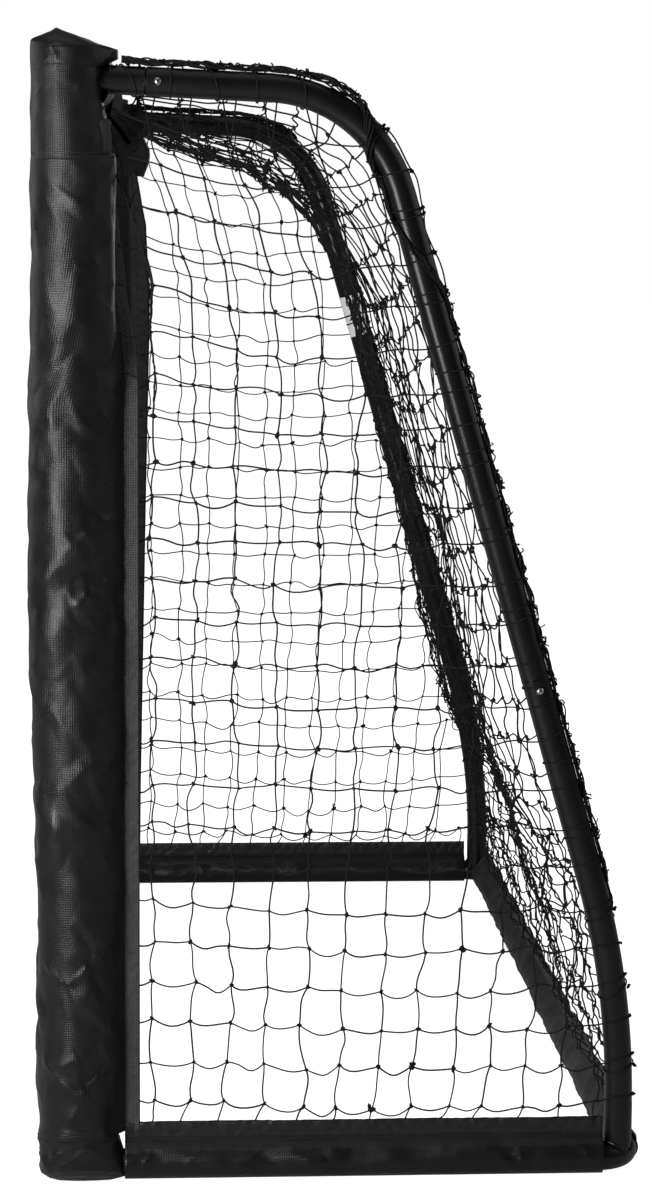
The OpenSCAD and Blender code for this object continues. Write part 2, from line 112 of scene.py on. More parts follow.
class Nodes:
    # a node tree, with short ways to fill it
    def __init__(self, tree):
        self.tree = tree

    def node(self, kind, settings=None, sockets=None, out=0):
        made = self.tree.nodes.new(kind)
        for key, value in (settings or {}).items():
            if key == "stops":
                ramp = made.color_ramp
                while len(ramp.elements) > 1:
                    ramp.elements.remove(ramp.elements[-1])
                for i, (at, tone) in enumerate(value):
                    stop = ramp.elements[0] if i == 0 else ramp.elements.new(at)
                    stop.position, stop.color = at, (tone, tone, tone, 1)
            else:
                setattr(made, key, value)
        for key, value in (sockets or {}).items():
            self.plug(made.inputs[key], value)
        return Wire(self, made.outputs[out]) if len(made.outputs) else None

    def plug(self, socket, value):
        if isinstance(value, Wire):
            self.tree.links.new(value.socket, socket)
        else:
            socket.default_value = value


class Finish(Nodes):
    # one material
    sockets = {"baseColor": "Base Color", "roughness": "Roughness", "metallic": "Metallic",
               "coat": "Coat Weight", "coatRoughness": "Coat Roughness", "normal": "Normal",
               "specular": "Specular IOR Level", "glowColor": "Emission Color",
               "glow": "Emission Strength"}

    def __init__(self, name):
        self.material = bpy.data.materials.new(name)
        self.material.use_nodes = True
        super().__init__(self.material.node_tree)
        self.here = self.node("ShaderNodeTexCoord", out="Object")

    def cloudy(self, scale, detail=3.0, rough=0.55, place=None):
        return self.node("ShaderNodeTexNoise", {"noise_dimensions": "3D"},
                         {"Vector": place or self.here, "Scale": scale, "Detail": detail,
                          "Roughness": rough})

    def cells(self, scale):
        return self.node("ShaderNodeTexVoronoi", {"feature": "F1"},
                         {"Vector": self.here, "Scale": scale})

    def ramp(self, value, stops):
        return self.node("ShaderNodeValToRGB", {"stops": stops}, {0: value})

    def mix(self, mask, first, second):
        return self.node("ShaderNodeMix", {"data_type": "RGBA"}, {0: mask, 6: first, 7: second},
                         out=2)

    def bump(self, height, distance, strength=1.0, normal=None):
        sockets = {"Height": height, "Distance": distance, "Strength": strength}
        if normal is not None:
            sockets["Normal"] = normal
        return self.node("ShaderNodeBump", {}, sockets)

    def set(self, **values):
        shader = self.tree.nodes["Principled BSDF"]
        for key, value in values.items():
            self.plug(shader.inputs[self.sockets[key]], value)
        return self.material


def grey(value, warm=0.0):
    return (value * (1 + warm), value, value * (1 - warm), 1)


# ---- finishes

tubePaint = {"black": 0.0035, "dust": 0.009, "rough": 0.27, "specular": 0.24, "coat": 0.04,
             "coatRough": 0.18, "orangePeel": 0.00012}


def paintFinish():
    f = Finish("satinBlackPaint")
    orange, cloud = f.cloudy(650, 2), f.cloudy(14, 4)
    dust = f.ramp(cloud, [(0.42, 0), (0.75, 1)])
    speck = f.ramp(f.cloudy(420, 2), [(0.66, 0), (0.72, 1)])
    return f.set(baseColor=f.mix(dust * 0.35 + speck * 0.15, grey(tubePaint["black"]),
                                 grey(tubePaint["dust"], 0.04)),
                 roughness=tubePaint["rough"] + dust * 0.09 + speck * 0.1,
                 specular=tubePaint["specular"], coat=tubePaint["coat"],
                 coatRoughness=tubePaint["coatRough"],
                 normal=f.bump(orange, tubePaint["orangePeel"], 0.5))


# flap is the pale grey of a sheen painted on the flaps; mattFlap is how much more matt the flaps and
# folds are
coverCloth = {"black": 0.0042, "worn": 0.014, "rough": 0.35, "thread": 0.0023, "raise": 0.00023,
              "specular": 0.24, "flap": 0.060, "mattFlap": 0.4}


def clothFinish(name, worn=0.5, rough=0.0, raised=1.0, shine=1.0, paintedPaler=1.0):
    # coated cloth: a grid of threads stands out under a thin black skin, and a sheen is painted on the
    # flaps where the cloth attribute's third value is positive
    f = Finish(name)
    on = f.node("ShaderNodeAttribute", {"attribute_name": "cloth"}, out="Vector")
    along, across, flap = on.part(0), on.part(1), on.part(2)
    turns = tau / coverCloth["thread"]
    warp = (along * turns).calc("COSINE") * 0.5 + 0.5
    weft = (across * turns).calc("COSINE") * 0.5 + 0.5
    grid = (warp ** 1.6).calc("MAXIMUM", weft ** 1.6)
    patch = f.ramp(f.cloudy(16, 3), [(0.34, 0.35), (0.58, 1)])
    rub = f.ramp(f.cloudy(34, 5, 0.62), [(0.45, 0), (0.72, 1)])
    streaks = f.cloudy(1.0, place=f.node("ShaderNodeVectorMath", {"operation": "MULTIPLY"},
                                         {0: f.here, 1: (60, 60, 9)}))
    skin = f.bump(f.cloudy(70), 0.0009, 0.35)
    # a factor above 1 paints the whole cloth paler, standing in for light on it
    plain = f.mix(rub * worn * 0.6 + grid * patch * 0.22, grey(coverCloth["black"] * paintedPaler),
                  grey(coverCloth["worn"] * paintedPaler, 0.01))
    # painted sheen: the flap is mixed towards the pale flap grey, with its thread grid, by the positive
    # part of its mask; the mask's square makes flaps and folds matt
    return f.set(baseColor=f.mix((flap * (grid * 0.8 + 0.08)).clamp(), plain,
                                 grey(coverCloth["flap"])),
                 roughness=(coverCloth["rough"] + rough + rub * 0.12 - streaks * 0.06
                            + flap * flap * coverCloth["mattFlap"]),
                 specular=coverCloth["specular"] * shine,
                 normal=f.bump(grid * patch * raised, coverCloth["raise"], 0.8, skin))


def smallFinish(name, scale, dark, light, rough, rise, more=0.0, foam=False, patches=None, **others):
    # a tone between two greys, and a fine grain that also stands out: rise is (height, strength)
    f = Finish(name)
    grain = f.cells(scale) if foam else f.cloudy(scale, 2)
    tone = f.cloudy(patches) if patches else grain
    return f.set(baseColor=f.mix(tone, dark, light), roughness=grain * more + rough if more else rough,
                 normal=f.bump(grain, *rise), **others)


def zincFinish():
    f = Finish("brightZinc")
    grain = f.cloudy(900)
    return f.set(baseColor=f.mix(f.cells(260), grey(0.30, -0.01), grey(0.42, -0.01)), metallic=1.0,
                 roughness=0.18 + grain * 0.15, normal=f.bump(grain, 0.00005, 0.4))


def labelFinish():
    f = Finish("blankPaper")
    fibre = f.cloudy(800, 4)
    scuff = f.ramp(f.cloudy(90), [(0.6, 0), (0.8, 1)])
    return f.set(baseColor=f.mix(scuff * 0.5 + fibre * 0.2, grey(0.86), grey(0.62, 0.03)),
                 roughness=0.6, normal=f.bump(fibre, 0.00005, 0.3))


finishes = {
    "paint": paintFinish(), "zinc": zincFinish(), "label": labelFinish(),
    "cover": clothFinish("coatedCloth"),
    # the rear bar's cloth has more wear, and is painted 4.2 times paler as painted light
    "rear": clothFinish("wornPaintedLightCloth", worn=1.0, rough=0.14, raised=0.8, paintedPaler=4.2),
    "dull": clothFinish("dullCloth", rough=0.12, shine=0.4),
    "twine": smallFinish("blackTwine", 1500, grey(0.004), grey(0.012, 0.02), 0.75, (0.0002, 0.6),
                         more=0.15, patches=30, specular=0.15),
    "thread": smallFinish("sewingThread", 2200, grey(0.012), grey(0.035), 0.5, (0.0001, 0.5)),
    "foam": smallFinish("greyFoam", 900, grey(0.03), grey(0.06), 0.9, (0.0002, 0.7), foam=True),
    "plastic": smallFinish("blackPlastic", 1200, grey(0.01), grey(0.018), 0.5, (0.0001, 0.4),
                           more=0.1)}
print("finishes ready")


def paintNodes():
    # finish on the frame's own nodes
    keys = (("button", "zinc"), ("post_plugs", "plastic"), ("post_feet", "plastic"), ("pad", "foam"),
            ("blank_label", "label"), ("net", "twine"), ("cover", "cover"), ("cap", "cover"),
            ("boot", "cover"), ("", "paint"))
    for name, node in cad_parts.items():
        node.data.materials.clear()
        node.data.materials.append(finishes[next(key for word, key in keys if word in name)])


# ---- mesh helpers

def addMesh(name, parts, finish, replaced=None, cloth=None, thick=0.0):
    # parts is a list of (points, faces); cloth gives each point its place on the flat cut
    start, allPoints, allFaces = 0, [], []
    for points, faces in parts:
        allPoints.append(points.reshape(-1, 3))
        allFaces.append(faces + start)
        start += len(allPoints[-1])
    points, faces = np.concatenate(allPoints), np.concatenate(allFaces)
    mesh = bpy.data.meshes.new(name)
    mesh.vertices.add(len(points))
    mesh.vertices.foreach_set("co", points.astype(np.float32).ravel())
    mesh.loops.add(faces.size)
    mesh.loops.foreach_set("vertex_index", faces.astype(np.int32).ravel())
    mesh.polygons.add(len(faces))
    mesh.polygons.foreach_set("loop_start", np.arange(0, faces.size, faces.shape[1], dtype=np.int32))
    mesh.update(calc_edges=True)
    mesh.validate()
    mesh.shade_smooth()
    if cloth is not None:
        flat = np.stack(np.broadcast_arrays(*cloth, 0.0)[:3], -1).astype(np.float32)
        mesh.attributes.new("cloth", "FLOAT_VECTOR", "POINT").data.foreach_set("vector", flat.ravel())
    mesh.materials.append(finishes[finish])
    piece = bpy.data.objects.new(name, mesh)
    bpy.context.scene.collection.objects.link(piece)
    if thick:
        shell = piece.modifiers.new("cloth", "SOLIDIFY")
        shell.thickness, shell.offset = thick, -1
    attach(piece, "goal")
    if replaced:
        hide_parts(replaced)
    return piece


def gridFaces(rows, cols, ring=False):
    r, c = np.meshgrid(np.arange(rows - 1), np.arange(cols if ring else cols - 1), indexing="ij")
    n = (c + 1) % cols
    return np.stack([r * cols + c, r * cols + n, (r + 1) * cols + n, (r + 1) * cols + c],
                    -1).reshape(-1, 4)


def tubes(paths, radius, around=5):
    # round strands along many paths of the same number of points: paths is (count, points, 3)
    count, steps, _ = paths.shape
    ahead = np.gradient(paths, axis=1)
    ahead /= np.linalg.norm(ahead, axis=2, keepdims=True) + 1e-12
    side = np.cross(ahead, np.array([0.31, 0.47, 0.83]))   # any way that no strand takes
    side /= np.linalg.norm(side, axis=2, keepdims=True) + 1e-12
    other = np.cross(ahead, side)
    turn = np.arange(around) * tau / around
    radius = np.broadcast_to(np.asarray(radius, float), (count,))[:, None, None, None]
    ring = (side[:, :, None] * np.cos(turn)[:, None] + other[:, :, None] * np.sin(turn)[:, None])
    points = paths[:, :, None] + radius * ring
    one = gridFaces(steps, around, ring=True)
    faces = (one[None] + (np.arange(count) * steps * around)[:, None, None]).reshape(-1, 4)
    return points.reshape(-1, 3), faces


def blobShape():
    ball = bmesh.new()
    bmesh.ops.create_cube(ball, size=1.0)
    bmesh.ops.subdivide_edges(ball, edges=ball.edges, cuts=2, use_grid_fill=True)
    points = np.array([v.co.normalized() for v in ball.verts])
    faces = np.array([[v.index for v in f.verts] for f in ball.faces])
    ball.free()
    return points, faces


blobPoints, blobFaces = blobShape()


def knots(places, size):
    # small uneven lumps, each turned its own way
    count = len(places)
    turn = np.linalg.qr(rng.normal(size=(count, 3, 3)))[0]
    size = np.broadcast_to(np.asarray(size, float), (count,))
    stretch = size[:, None] * rng.uniform([0.8, 0.55, 0.5], [1.35, 0.95, 0.8], (count, 3))
    lumps = 1 + 0.22 * rng.normal(size=(count, len(blobPoints), 1))
    points = np.einsum("kij,knj->kni", turn, blobPoints[None] * stretch[:, None] * lumps)
    points += places[:, None]
    faces = (blobFaces[None] + (np.arange(count) * len(blobPoints))[:, None, None]).reshape(-1, 4)
    return points.reshape(-1, 3), faces


def strands(a, b, droop, sway, steps=8):
    # twine from a to b: droop is each strand's sag vector, sway its side to side bow
    t = np.linspace(0, 1, steps)[None, :, None]
    a, b, droop, sway = (np.asarray(v, float)[:, None] for v in (a, b, droop, sway))
    return a + (b - a) * t + 4 * t * (1 - t) * droop + np.sin(tau * t) * sway


def noiseAt(points, scale, seed=0.0):
    shift = Vector((seed, seed * 1.7, -seed))
    return np.array([noise.noise(Vector(p) * scale + shift) for p in points])


def smoothstep(x):
    x = np.clip(x, 0, 1)
    return x * x * (3 - 2 * x)


def table(at, rows):
    # a value read from rows of (place, value)
    return np.interp(at, *np.array(rows).T)


# ---- the line that each side frame's tube follows

def sideLine():
    slope, slant = math.radians(goal["topSlope"]), math.radians(goal["backSlant"])
    bend, foot = goal["topBend"], goal["footBend"]
    footY = goal["depth"] - cornerInset
    slantY = footY - foot * (1 - math.cos(slant))
    slantZ = goal["footStraight"] + foot * math.sin(slant)
    apexY = (slantY - math.tan(slant) * (topZ - slantZ)) / (1 - math.tan(slant) * math.tan(slope))
    apexZ = topZ - apexY * math.tan(slope)
    reach = bend * math.tan((math.pi / 2 - slant - slope) / 2)
    onY, onZ = apexY - reach * math.cos(slope), apexZ + reach * math.sin(slope)
    midY, midZ = onY - bend * math.sin(slope), onZ - bend * math.cos(slope)
    top = np.linspace([0, topZ], [onY, onZ], 60)
    a = np.linspace(math.pi / 2 - slope, slant, 60)
    bent = np.stack([midY + bend * np.cos(a), midZ + bend * np.sin(a)], 1)
    straight = np.linspace(bent[-1], [slantY, slantZ], 160)
    a = np.linspace(slant, 0, 90)
    curve = np.stack([footY - foot + foot * np.cos(a), goal["footStraight"] + foot * np.sin(a)], 1)
    end = np.linspace(curve[-1], [footY, baseZ], 20)
    return np.concatenate([top, bent[1:], straight[1:], curve[1:], end[1:]])


line = sideLine()
lean = math.asin(cornerInset / (topZ - baseZ))
run = np.concatenate([[0], np.cumsum(np.linalg.norm(np.diff(line, axis=0), axis=1))])
ahead = np.gradient(line, axis=0)
ahead /= np.linalg.norm(ahead, axis=1, keepdims=True)
outward = np.stack([-ahead[:, 1], ahead[:, 0]], 1)   # away from the goal's inside
behind, above = slice(60, None), slice(0, 130)       # the parts of the line behind and on top


def onLine(s, off=0.0):
    y = np.interp(s, run, line[:, 0]) + off * np.interp(s, run, outward[:, 0])
    z = np.interp(s, run, line[:, 1]) + off * np.interp(s, run, outward[:, 1])
    return y, z


def backAt(z):
    return np.interp(-z, -line[behind, 1], line[behind, 0])


def backRunAt(z):
    return np.interp(-z, -line[behind, 1], run[behind])


def planeToWorld(side, x, y, z):
    # a side frame's own plane: x is the distance outside it
    x, y, z = np.broadcast_arrays(np.asarray(x, float), y, z)
    return np.stack([side * (halfWidth - (topZ - z) * math.tan(lean) + x), y + postY, z], -1)


def onTube(side, s, radius, angle):
    # a place radius from the tube's middle: 0 is outward in the frame's plane, 90 the outer side
    y, z = onLine(s, radius * np.cos(angle))
    return planeToWorld(side, radius * np.sin(angle), y, z)


# ---- nets

net = {"mesh": 0.0408, "twine": 0.00088, "knot": 0.0025, "edge": 0.0168, "rows": 25, "columns": 13,
       "lowest": 0.0812, "first": 0.0775, "uneven": (0.0022, 0.0019), "belly": 0.012}


def wrapRound(side, s, inner, shift, face=1):
    # twine from a knot at inner to the gathered edge, over the tube's outer or inner face (-1)
    t = np.linspace(0, 1, 9)[None]
    at = np.asarray(s, float)[:, None] + np.asarray(shift, float).reshape(-1, 1) * t
    angle = 0.9 + 2.0 * t
    y, z = onLine(at, -(tubeR + 0.001) * np.cos(angle))
    bent = planeToWorld(side, face * (tubeR + 0.001) * np.sin(angle), y, z)
    first = inner[:, None]
    lead = first + (bent[:, :1] - first) * np.array([0.35, 0.7])[None, :, None]
    lead[:, :, 2] -= 0.0015
    return np.concatenate([first, lead, bent], 1)


# where each side net was mended with a larger knot: y, z
mended = [(0.384, 0.243), (0.334, 0.119), (0.293, 0.079)]


def sideGrid():
    # rows drop from the post and belly out low down; near the top the columns lean to the post
    rowCount, colCount = net["rows"], net["columns"]
    loose = rng.normal(size=(rowCount, colCount, 2)) * net["uneven"]
    z0 = (net["lowest"] + net["mesh"] * np.arange(rowCount))[:, None]
    wide = 0.0376 + 0.0034 * smoothstep(z0 / 0.6)
    drop = 0.013 - 0.007 * smoothstep((z0 - 0.25) / 0.35) + 0.018 * smoothstep((z0 - 0.6) / 0.25)
    tilt = 0.93 * np.maximum(0, z0 - 0.83) ** 2 + 0.006 * np.maximum(0, 1 - z0 / 0.13)
    y = net["first"] + wide * np.arange(colCount) - tilt + loose[..., 0]
    t = np.minimum(1, (y - net["first"]) / (backAt(z0) - net["first"]))
    low = np.sin(np.minimum(1, t / 0.6) * math.pi / 2) - 0.45 * smoothstep((t - 0.6) / 0.4)
    z = z0 - drop * low + loose[..., 1]
    top = np.interp(y, line[above, 0], line[above, 1])
    return y, z, (y < backAt(z) - 0.019) & (z < top - 0.020)


def sideNet(name, side, replaced):
    gridY, gridZ, keep = sideGrid()
    rowCount, colCount = keep.shape
    near = np.clip(1 - (backAt(gridZ) - gridY) / 0.15, 0, 1)   # drawn out to the tube's outer side
    bulge = net["belly"] * near + 0.004 * np.sin(7 * gridZ + 3 * gridY)
    bulge += rng.normal(0, 0.0015, bulge.shape)
    place = planeToWorld(side, bulge, gridY, gridZ)
    a, b, droop = [], [], []

    def tie(start, end, sag, loose):
        a.append(start), b.append(end)
        droop.append(np.array([0, 0, -sag]) + rng.normal(size=3) * loose)

    for i, j in np.argwhere(keep):
        if j + 1 < colCount and keep[i, j + 1]:
            sag = 0.0016 + 0.0042 * smoothstep((0.40 - gridZ[i, j]) / 0.3)
            tie(place[i, j], place[i, j + 1], rng.normal(sag, 0.0022), [0.001, 0, 0])
        if i + 1 < rowCount and keep[i + 1, j]:
            tie(place[i, j], place[i + 1, j], 0, [0.001, 0.0017, 0])
    for i in np.flatnonzero(keep[:, 0]):   # into the post cover's flap
        z = gridZ[i, 0]
        root = 0.049 - 0.006 * smoothstep((z - 0.78) / 0.1) - 0.008 * smoothstep((z - 1.02) / 0.02)
        tie(planeToWorld(side, 0.0018, root, z + rng.normal(0, 0.003)), place[i, 0],
            abs(rng.normal(0.0035, 0.0025)), 0)
    for j in np.flatnonzero(keep[0]):   # into the base cover's flap
        tie(planeToWorld(side, 0.0095, gridY[0, j] + rng.normal(-0.009, 0.004), 0.046),
            place[0, j], 0, [0, 0.002, 0])
    count = len(a)
    paths = strands(a, b, droop, rng.normal(size=(count, 3)) * [0.0006, 0.0009, 0.0011])
    parts = [tubes(paths, net["twine"] * rng.uniform(0.9, 1.12, count))]
    inner, at, shift = [], [], []
    for i in np.flatnonzero(keep.any(1)):   # each row goes on over the upright
        j = np.flatnonzero(keep[i])[-1]
        inner.append(place[i, j]), at.append(backRunAt(gridZ[i, j]) - 0.004)
        shift.append(rng.normal(-0.002, 0.003))
    wraps = wrapRound(side, at, np.array(inner), shift)
    parts += [tubes(wraps, net["twine"]), knots(wraps[:, -1], net["knot"] * 0.9)]
    inner, at, shift = [], [], []
    for j in np.flatnonzero(keep[rowCount - 7:].any(0)):   # each column goes to the top as a pair
        i = np.flatnonzero(keep[:, j])[-1]
        for spread in (-0.007, 0.007):
            inner.append(place[i, j])
            at.append(np.interp(gridY[i, j], line[above, 0], run[above]) + spread)
            shift.append(rng.normal(spread, 0.002))
    parts.append(tubes(wrapRound(side, at, np.array(inner), shift, face=-1), net["twine"]))
    cord = [planeToWorld(side, 0.003, 0.0365, 1.0225), planeToWorld(side, 0.003, 0.052, 0.985)]
    cord += [place[i, 0] for i in range(rowCount - 1, 16, -1) if keep[i, 0] and gridZ[i, 0] < 0.95]
    cord = np.array(cord)
    t = np.linspace(0, len(cord) - 1, 90)
    cord = np.stack([np.interp(t, np.arange(len(cord)), cord[:, k]) for k in range(3)], 1)
    parts.append(tubes(np.stack([cord, cord + 0.0006 * np.sin(t * 21)[:, None] * [0, 1, 0]]),
                       net["twine"]))
    places = place[keep]
    parts.append(knots(places, net["knot"] * rng.uniform(0.85, 1.2, len(places))))
    tails = np.array([places[np.argmin(np.hypot(places[:, 1] - postY - y, places[:, 2] - z))]
                      for y, z in mended])
    parts.append(knots(np.repeat(tails, 3, 0) + rng.normal(size=(9, 3)) * 0.0014, net["knot"] * 1.25))
    parts.append(tubes(strands(tails, tails + rng.normal(size=(3, 3)) * [0.002, 0.0035, 0.0035],
                               rng.normal(size=(3, 3)) * 0.002, np.zeros((3, 3)), 6),
                       net["twine"]))
    addMesh(name, parts, "twine", replaced)


# how far the net over the top and back hangs inside the tubes' line at mid width, by place
hang = [(0.05, 0.020), (0.15, 0.056), (0.279, 0.080), (0.465, 0.018), (0.80, 0.020), (0.95, 0.034),
        (1.05, 0.033), (1.12, 0.023), (1.20, 0.013), (1.27, 0.006), (1.335, 0.000)]
slackNet = {"columns": 38, "droop": 0.065, "first": 0.064, "denseFrom": 1.05, "denseRows": 13,
            "ripple": 0.012, "loose": 0.0024, "wave": 0.008, "slackWave": 0.010}


def acrossGrid():
    # the one net that runs over the top and down the back, as rows of knots from post to post
    end = run[-1]
    rows = np.append(np.arange(slackNet["first"], slackNet["denseFrom"], net["mesh"]),
                     np.linspace(slackNet["denseFrom"] + 0.018, end - 0.052, slackNet["denseRows"]))
    s, u = np.meshgrid(rows, np.linspace(-1, 1, slackNet["columns"]), indexing="ij")
    droop = smoothstep((s - 0.25) / 0.2) * (1 - smoothstep((s - 0.86) / 0.44))
    slack = smoothstep((rows - end + 0.62) / 0.4)[:, None]   # it hangs looser low down
    foot = smoothstep((end - 0.03 - rows) / 0.2)[:, None]
    beat, phase = rng.uniform(4, 13, (len(rows), 1)), rng.uniform(0, tau, (len(rows), 1))
    ripple = slackNet["ripple"] * slack * foot * np.sin(u * beat + phase) * (1 - u ** 4)
    s = s + slackNet["droop"] * droop * (1 - abs(u) ** 2.2) + ripple
    inside = np.minimum(1, (1 - abs(u)) * 12)
    power = 2.7 + 5.3 * smoothstep((s - 0.5) / 0.5)
    off = net["edge"] * (1 - inside) * (1 - smoothstep((s - 1.08) / 0.08))
    off -= table(s, hang) * (1 - abs(u) ** power)
    y, z = onLine(s, off - 0.003 * inside)
    grid = np.stack([u * (halfWidth - (topZ - z) * math.tan(lean)), y + postY, z], -1)
    loose = rng.normal(size=grid.shape) * slackNet["loose"]
    wave = np.stack([noiseAt(grid.reshape(-1, 3) * [1, 1, 1.3], 4.5, k) for k in (1.0, 5.0, 9.0)],
                    1).reshape(grid.shape)
    wave *= slackNet["wave"] + slackNet["slackWave"] * (slack * foot)[..., None]
    wave *= 0.2 + 0.8 * foot[..., None]
    still = np.minimum(1, (1 - abs(u)) * 6)[..., None]
    return rows, grid + (loose + wave) * still, slack[:, 0]


def acrossNet(name, replaced, rows, grid, slack, first, last, topEdge=None, footEdge=None):
    # rows first to last of the net, with the strands that lead on to the next piece
    a, b, droop, sway = [], [], [], []
    columns = grid.shape[1]
    for i in range(first, last + 1):
        tight = smoothstep((rows[i] - slackNet["denseFrom"]) / 0.04)   # the rows crowd here
        free = (0.0018 + 0.0012 * slack[i]) * (1 - 0.45 * tight)
        for j in range(columns - 1):
            a.append(grid[i, j]), b.append(grid[i, j + 1])
            droop.append([0, rng.normal(0, free), -abs(rng.normal(0.003 - 0.002 * tight, free))])
            sway.append(rng.normal(size=3) * free * 0.8)
        for j in range(columns if i < len(rows) - 1 else 0):
            a.append(grid[i, j]), b.append(grid[i + 1, j])
            droop.append(rng.normal(size=3) * [free * 1.3, free, free * 0.4])
            sway.append(rng.normal(size=3) * free * 0.6)
    for edge, row, dip in ((topEdge, first, -0.003), (footEdge, last, 0.0)):
        for j in range(1, columns - 1 if edge else 0):
            a.append([grid[row, j, 0], *edge]), b.append(grid[row, j])
            droop.append([0, 0.002, dip]), sway.append([0, 0, 0])
    parts = [tubes(strands(a, b, droop, sway), net["twine"] * rng.uniform(0.9, 1.12, len(a)))]
    places = grid[first:last + 1].reshape(-1, 3)
    crowd = np.repeat(rows[first:last + 1] > slackNet["denseFrom"], columns)
    parts.append(knots(places, net["knot"] * (1 - 0.3 * crowd) * rng.uniform(0.75, 1.1, len(places))))
    addMesh(name, parts, "twine", replaced)


# where the gathered edge lies round the tube: 0 outside the bend, 180 within it: (run, degrees)
edgeTurn = [(0.0, 4), (0.272, 8), (0.325, 165), (0.380, 172), (0.430, 95), (0.478, 12),
            (1.06, 6), (1.17, -75), (2.0, -95)]
gathered = {"first": 0.0465, "strands": 11, "loops": 150, "ends": 46}


def edgeThick(at):
    # how thick the gathered edge is at a place on the line
    return (0.0030 - 0.0011 * smoothstep((at - 0.28) / 0.12)
            + 0.0012 * np.exp(-((at - 0.262) / 0.03) ** 2)
            + 0.0007 * np.sin(at * tau / net["mesh"]) * smoothstep((at - 0.45) / 0.1))


def gatheredEdge(name, side, replaced):
    # the nets' edges, bunched along the tubes, with knots, loops and ends
    def onEdge(at, rise, shift=0.0):
        # a place that is rise off the tube's surface and shift along its girth
        return onTube(side, at, tubeR + rise, np.radians(table(at, edgeTurn)) + shift / tubeR)

    s = np.linspace(gathered["first"], run[-1] - 0.05, 560)
    thick = edgeThick(s)
    rise = (0.0022 + 0.0012 * np.sin(s * 23 + side)) * smoothstep((0.29 - s) / 0.05)
    paths = []
    for k in range(gathered["strands"]):
        phase, pitch = k * tau / gathered["strands"] * 3, 0.045 + 0.03 * rng.random()
        out = thick * (0.35 + 0.65 * abs(np.sin(s * (29 + 5 * rng.random()) + k)))
        turn = s / pitch * tau + phase
        paths.append(onEdge(s, np.maximum(0.0010, 0.0006 + 0.6 * thick + rise + out * np.cos(turn)),
                            1.25 * out * np.sin(turn) + 0.0010 * np.sin(s * 17 + 0.3 * k)))
    parts = [tubes(np.array(paths), net["twine"] * 0.95, 4)]
    at = np.arange(0.06, run[-1] - 0.06, net["mesh"] / 2)
    at += rng.normal(0, 0.003, len(at))
    parts.append(knots(onEdge(at, 0.001 + edgeThick(at), rng.normal(0, 0.001, len(at))),
                       rng.uniform(0.0017, 0.0029, len(at))))

    def loosePart(count, longest, high, steps, closed):
        at = np.where(rng.random(count) < 0.62, rng.uniform(0.46, run[-1] - 0.07, count),
                      rng.uniform(0.06, 0.285, count))
        at += 0.010 * np.sin(at * tau / net["mesh"])
        base = 0.0010 + edgeThick(at)
        tip = onEdge(at + rng.normal(0, longest, count),
                     base + (0 if closed else high) * rng.uniform(0.4, 1, count))
        out = planeToWorld(side, 0.0, *onLine(at, 1.0)) - planeToWorld(side, 0.0, *onLine(at, 0.0))
        arch = out * rng.uniform(0.2, 1, (count, 1)) * (high if closed else 0.001)
        parts.append(tubes(strands(onEdge(at, base), tip, arch,
                                   rng.normal(size=(count, 3)) * 0.0008, steps),
                           net["twine"] * 0.9, 4))

    loosePart(gathered["loops"], 0.010, 0.0040, 9, True)
    loosePart(gathered["ends"], 0.004, 0.0058, 5, False)
    addMesh(name, parts, "twine", replaced)


def tubeTies(name, side, replaced):
    # twine taken right round the tube, two meshes apart, each with its small knot
    at = np.concatenate([[0.053, 0.095, 0.136, 0.177], np.arange(0.222, run[-1] - 0.08, 0.0815)])
    angle = np.linspace(0, tau, 25)[None]
    skew = rng.normal(0, 0.004, (len(at), 1)) * np.cos(angle + 0.6)
    loops = onTube(side, at[:, None] + skew, tubeR + 0.0009, angle)
    places = planeToWorld(side, 0.002, *onLine(at, tubeR + 0.0022))
    addMesh(name, [tubes(loops, net["twine"]), knots(places, net["knot"])], "twine", replaced)


# ---- cloth

cloth = {"thick": 0.0008, "flapHalf": 0.0013, "step": 0.0024, "hem": 0.009, "fold": 0.0005,
         "root": 0.0085, "stitchRows": (0.0025, 0.0058, 0.0100), "pitch": 0.0036, "stitch": 0.0024,
         "thread": 0.00032, "seamThread": 0.00034}


def ridges(s, z, rows):
    # crisp creases that stand out along short lines on the flat cloth
    out = np.zeros(s.shape)
    for s1, z1, s2, z2, high, wide in rows:
        long = math.hypot(s2 - s1, z2 - z1)
        cs, cz = (s2 - s1) / long, (z2 - z1) / long
        t = ((s - s1) * cs + (z - z1) * cz) / long
        d = (z - z1) * cs - (s - s1) * cz
        out += high * np.exp(-np.abs(d) / wide) * smoothstep(t * 3 + 0.6) * smoothstep((1 - t) * 3 + 0.6)
    return out


def scatter(count, s, z, slant, long, high, wide):
    # rows for ridges() at random places; slant is in degrees from across the sleeve
    rows = []
    for _ in range(count):
        turn = math.radians(rng.uniform(*slant)) * rng.choice([-1, 1])
        reach = rng.uniform(*long) / 2
        s0, z0 = rng.uniform(*s), rng.uniform(*z)
        ds, dz = reach * math.cos(turn), reach * math.sin(turn)
        rows.append((s0 - ds, z0 - dz, s0 + ds, z0 + dz, rng.uniform(*high), rng.uniform(*wide)))
    return rows


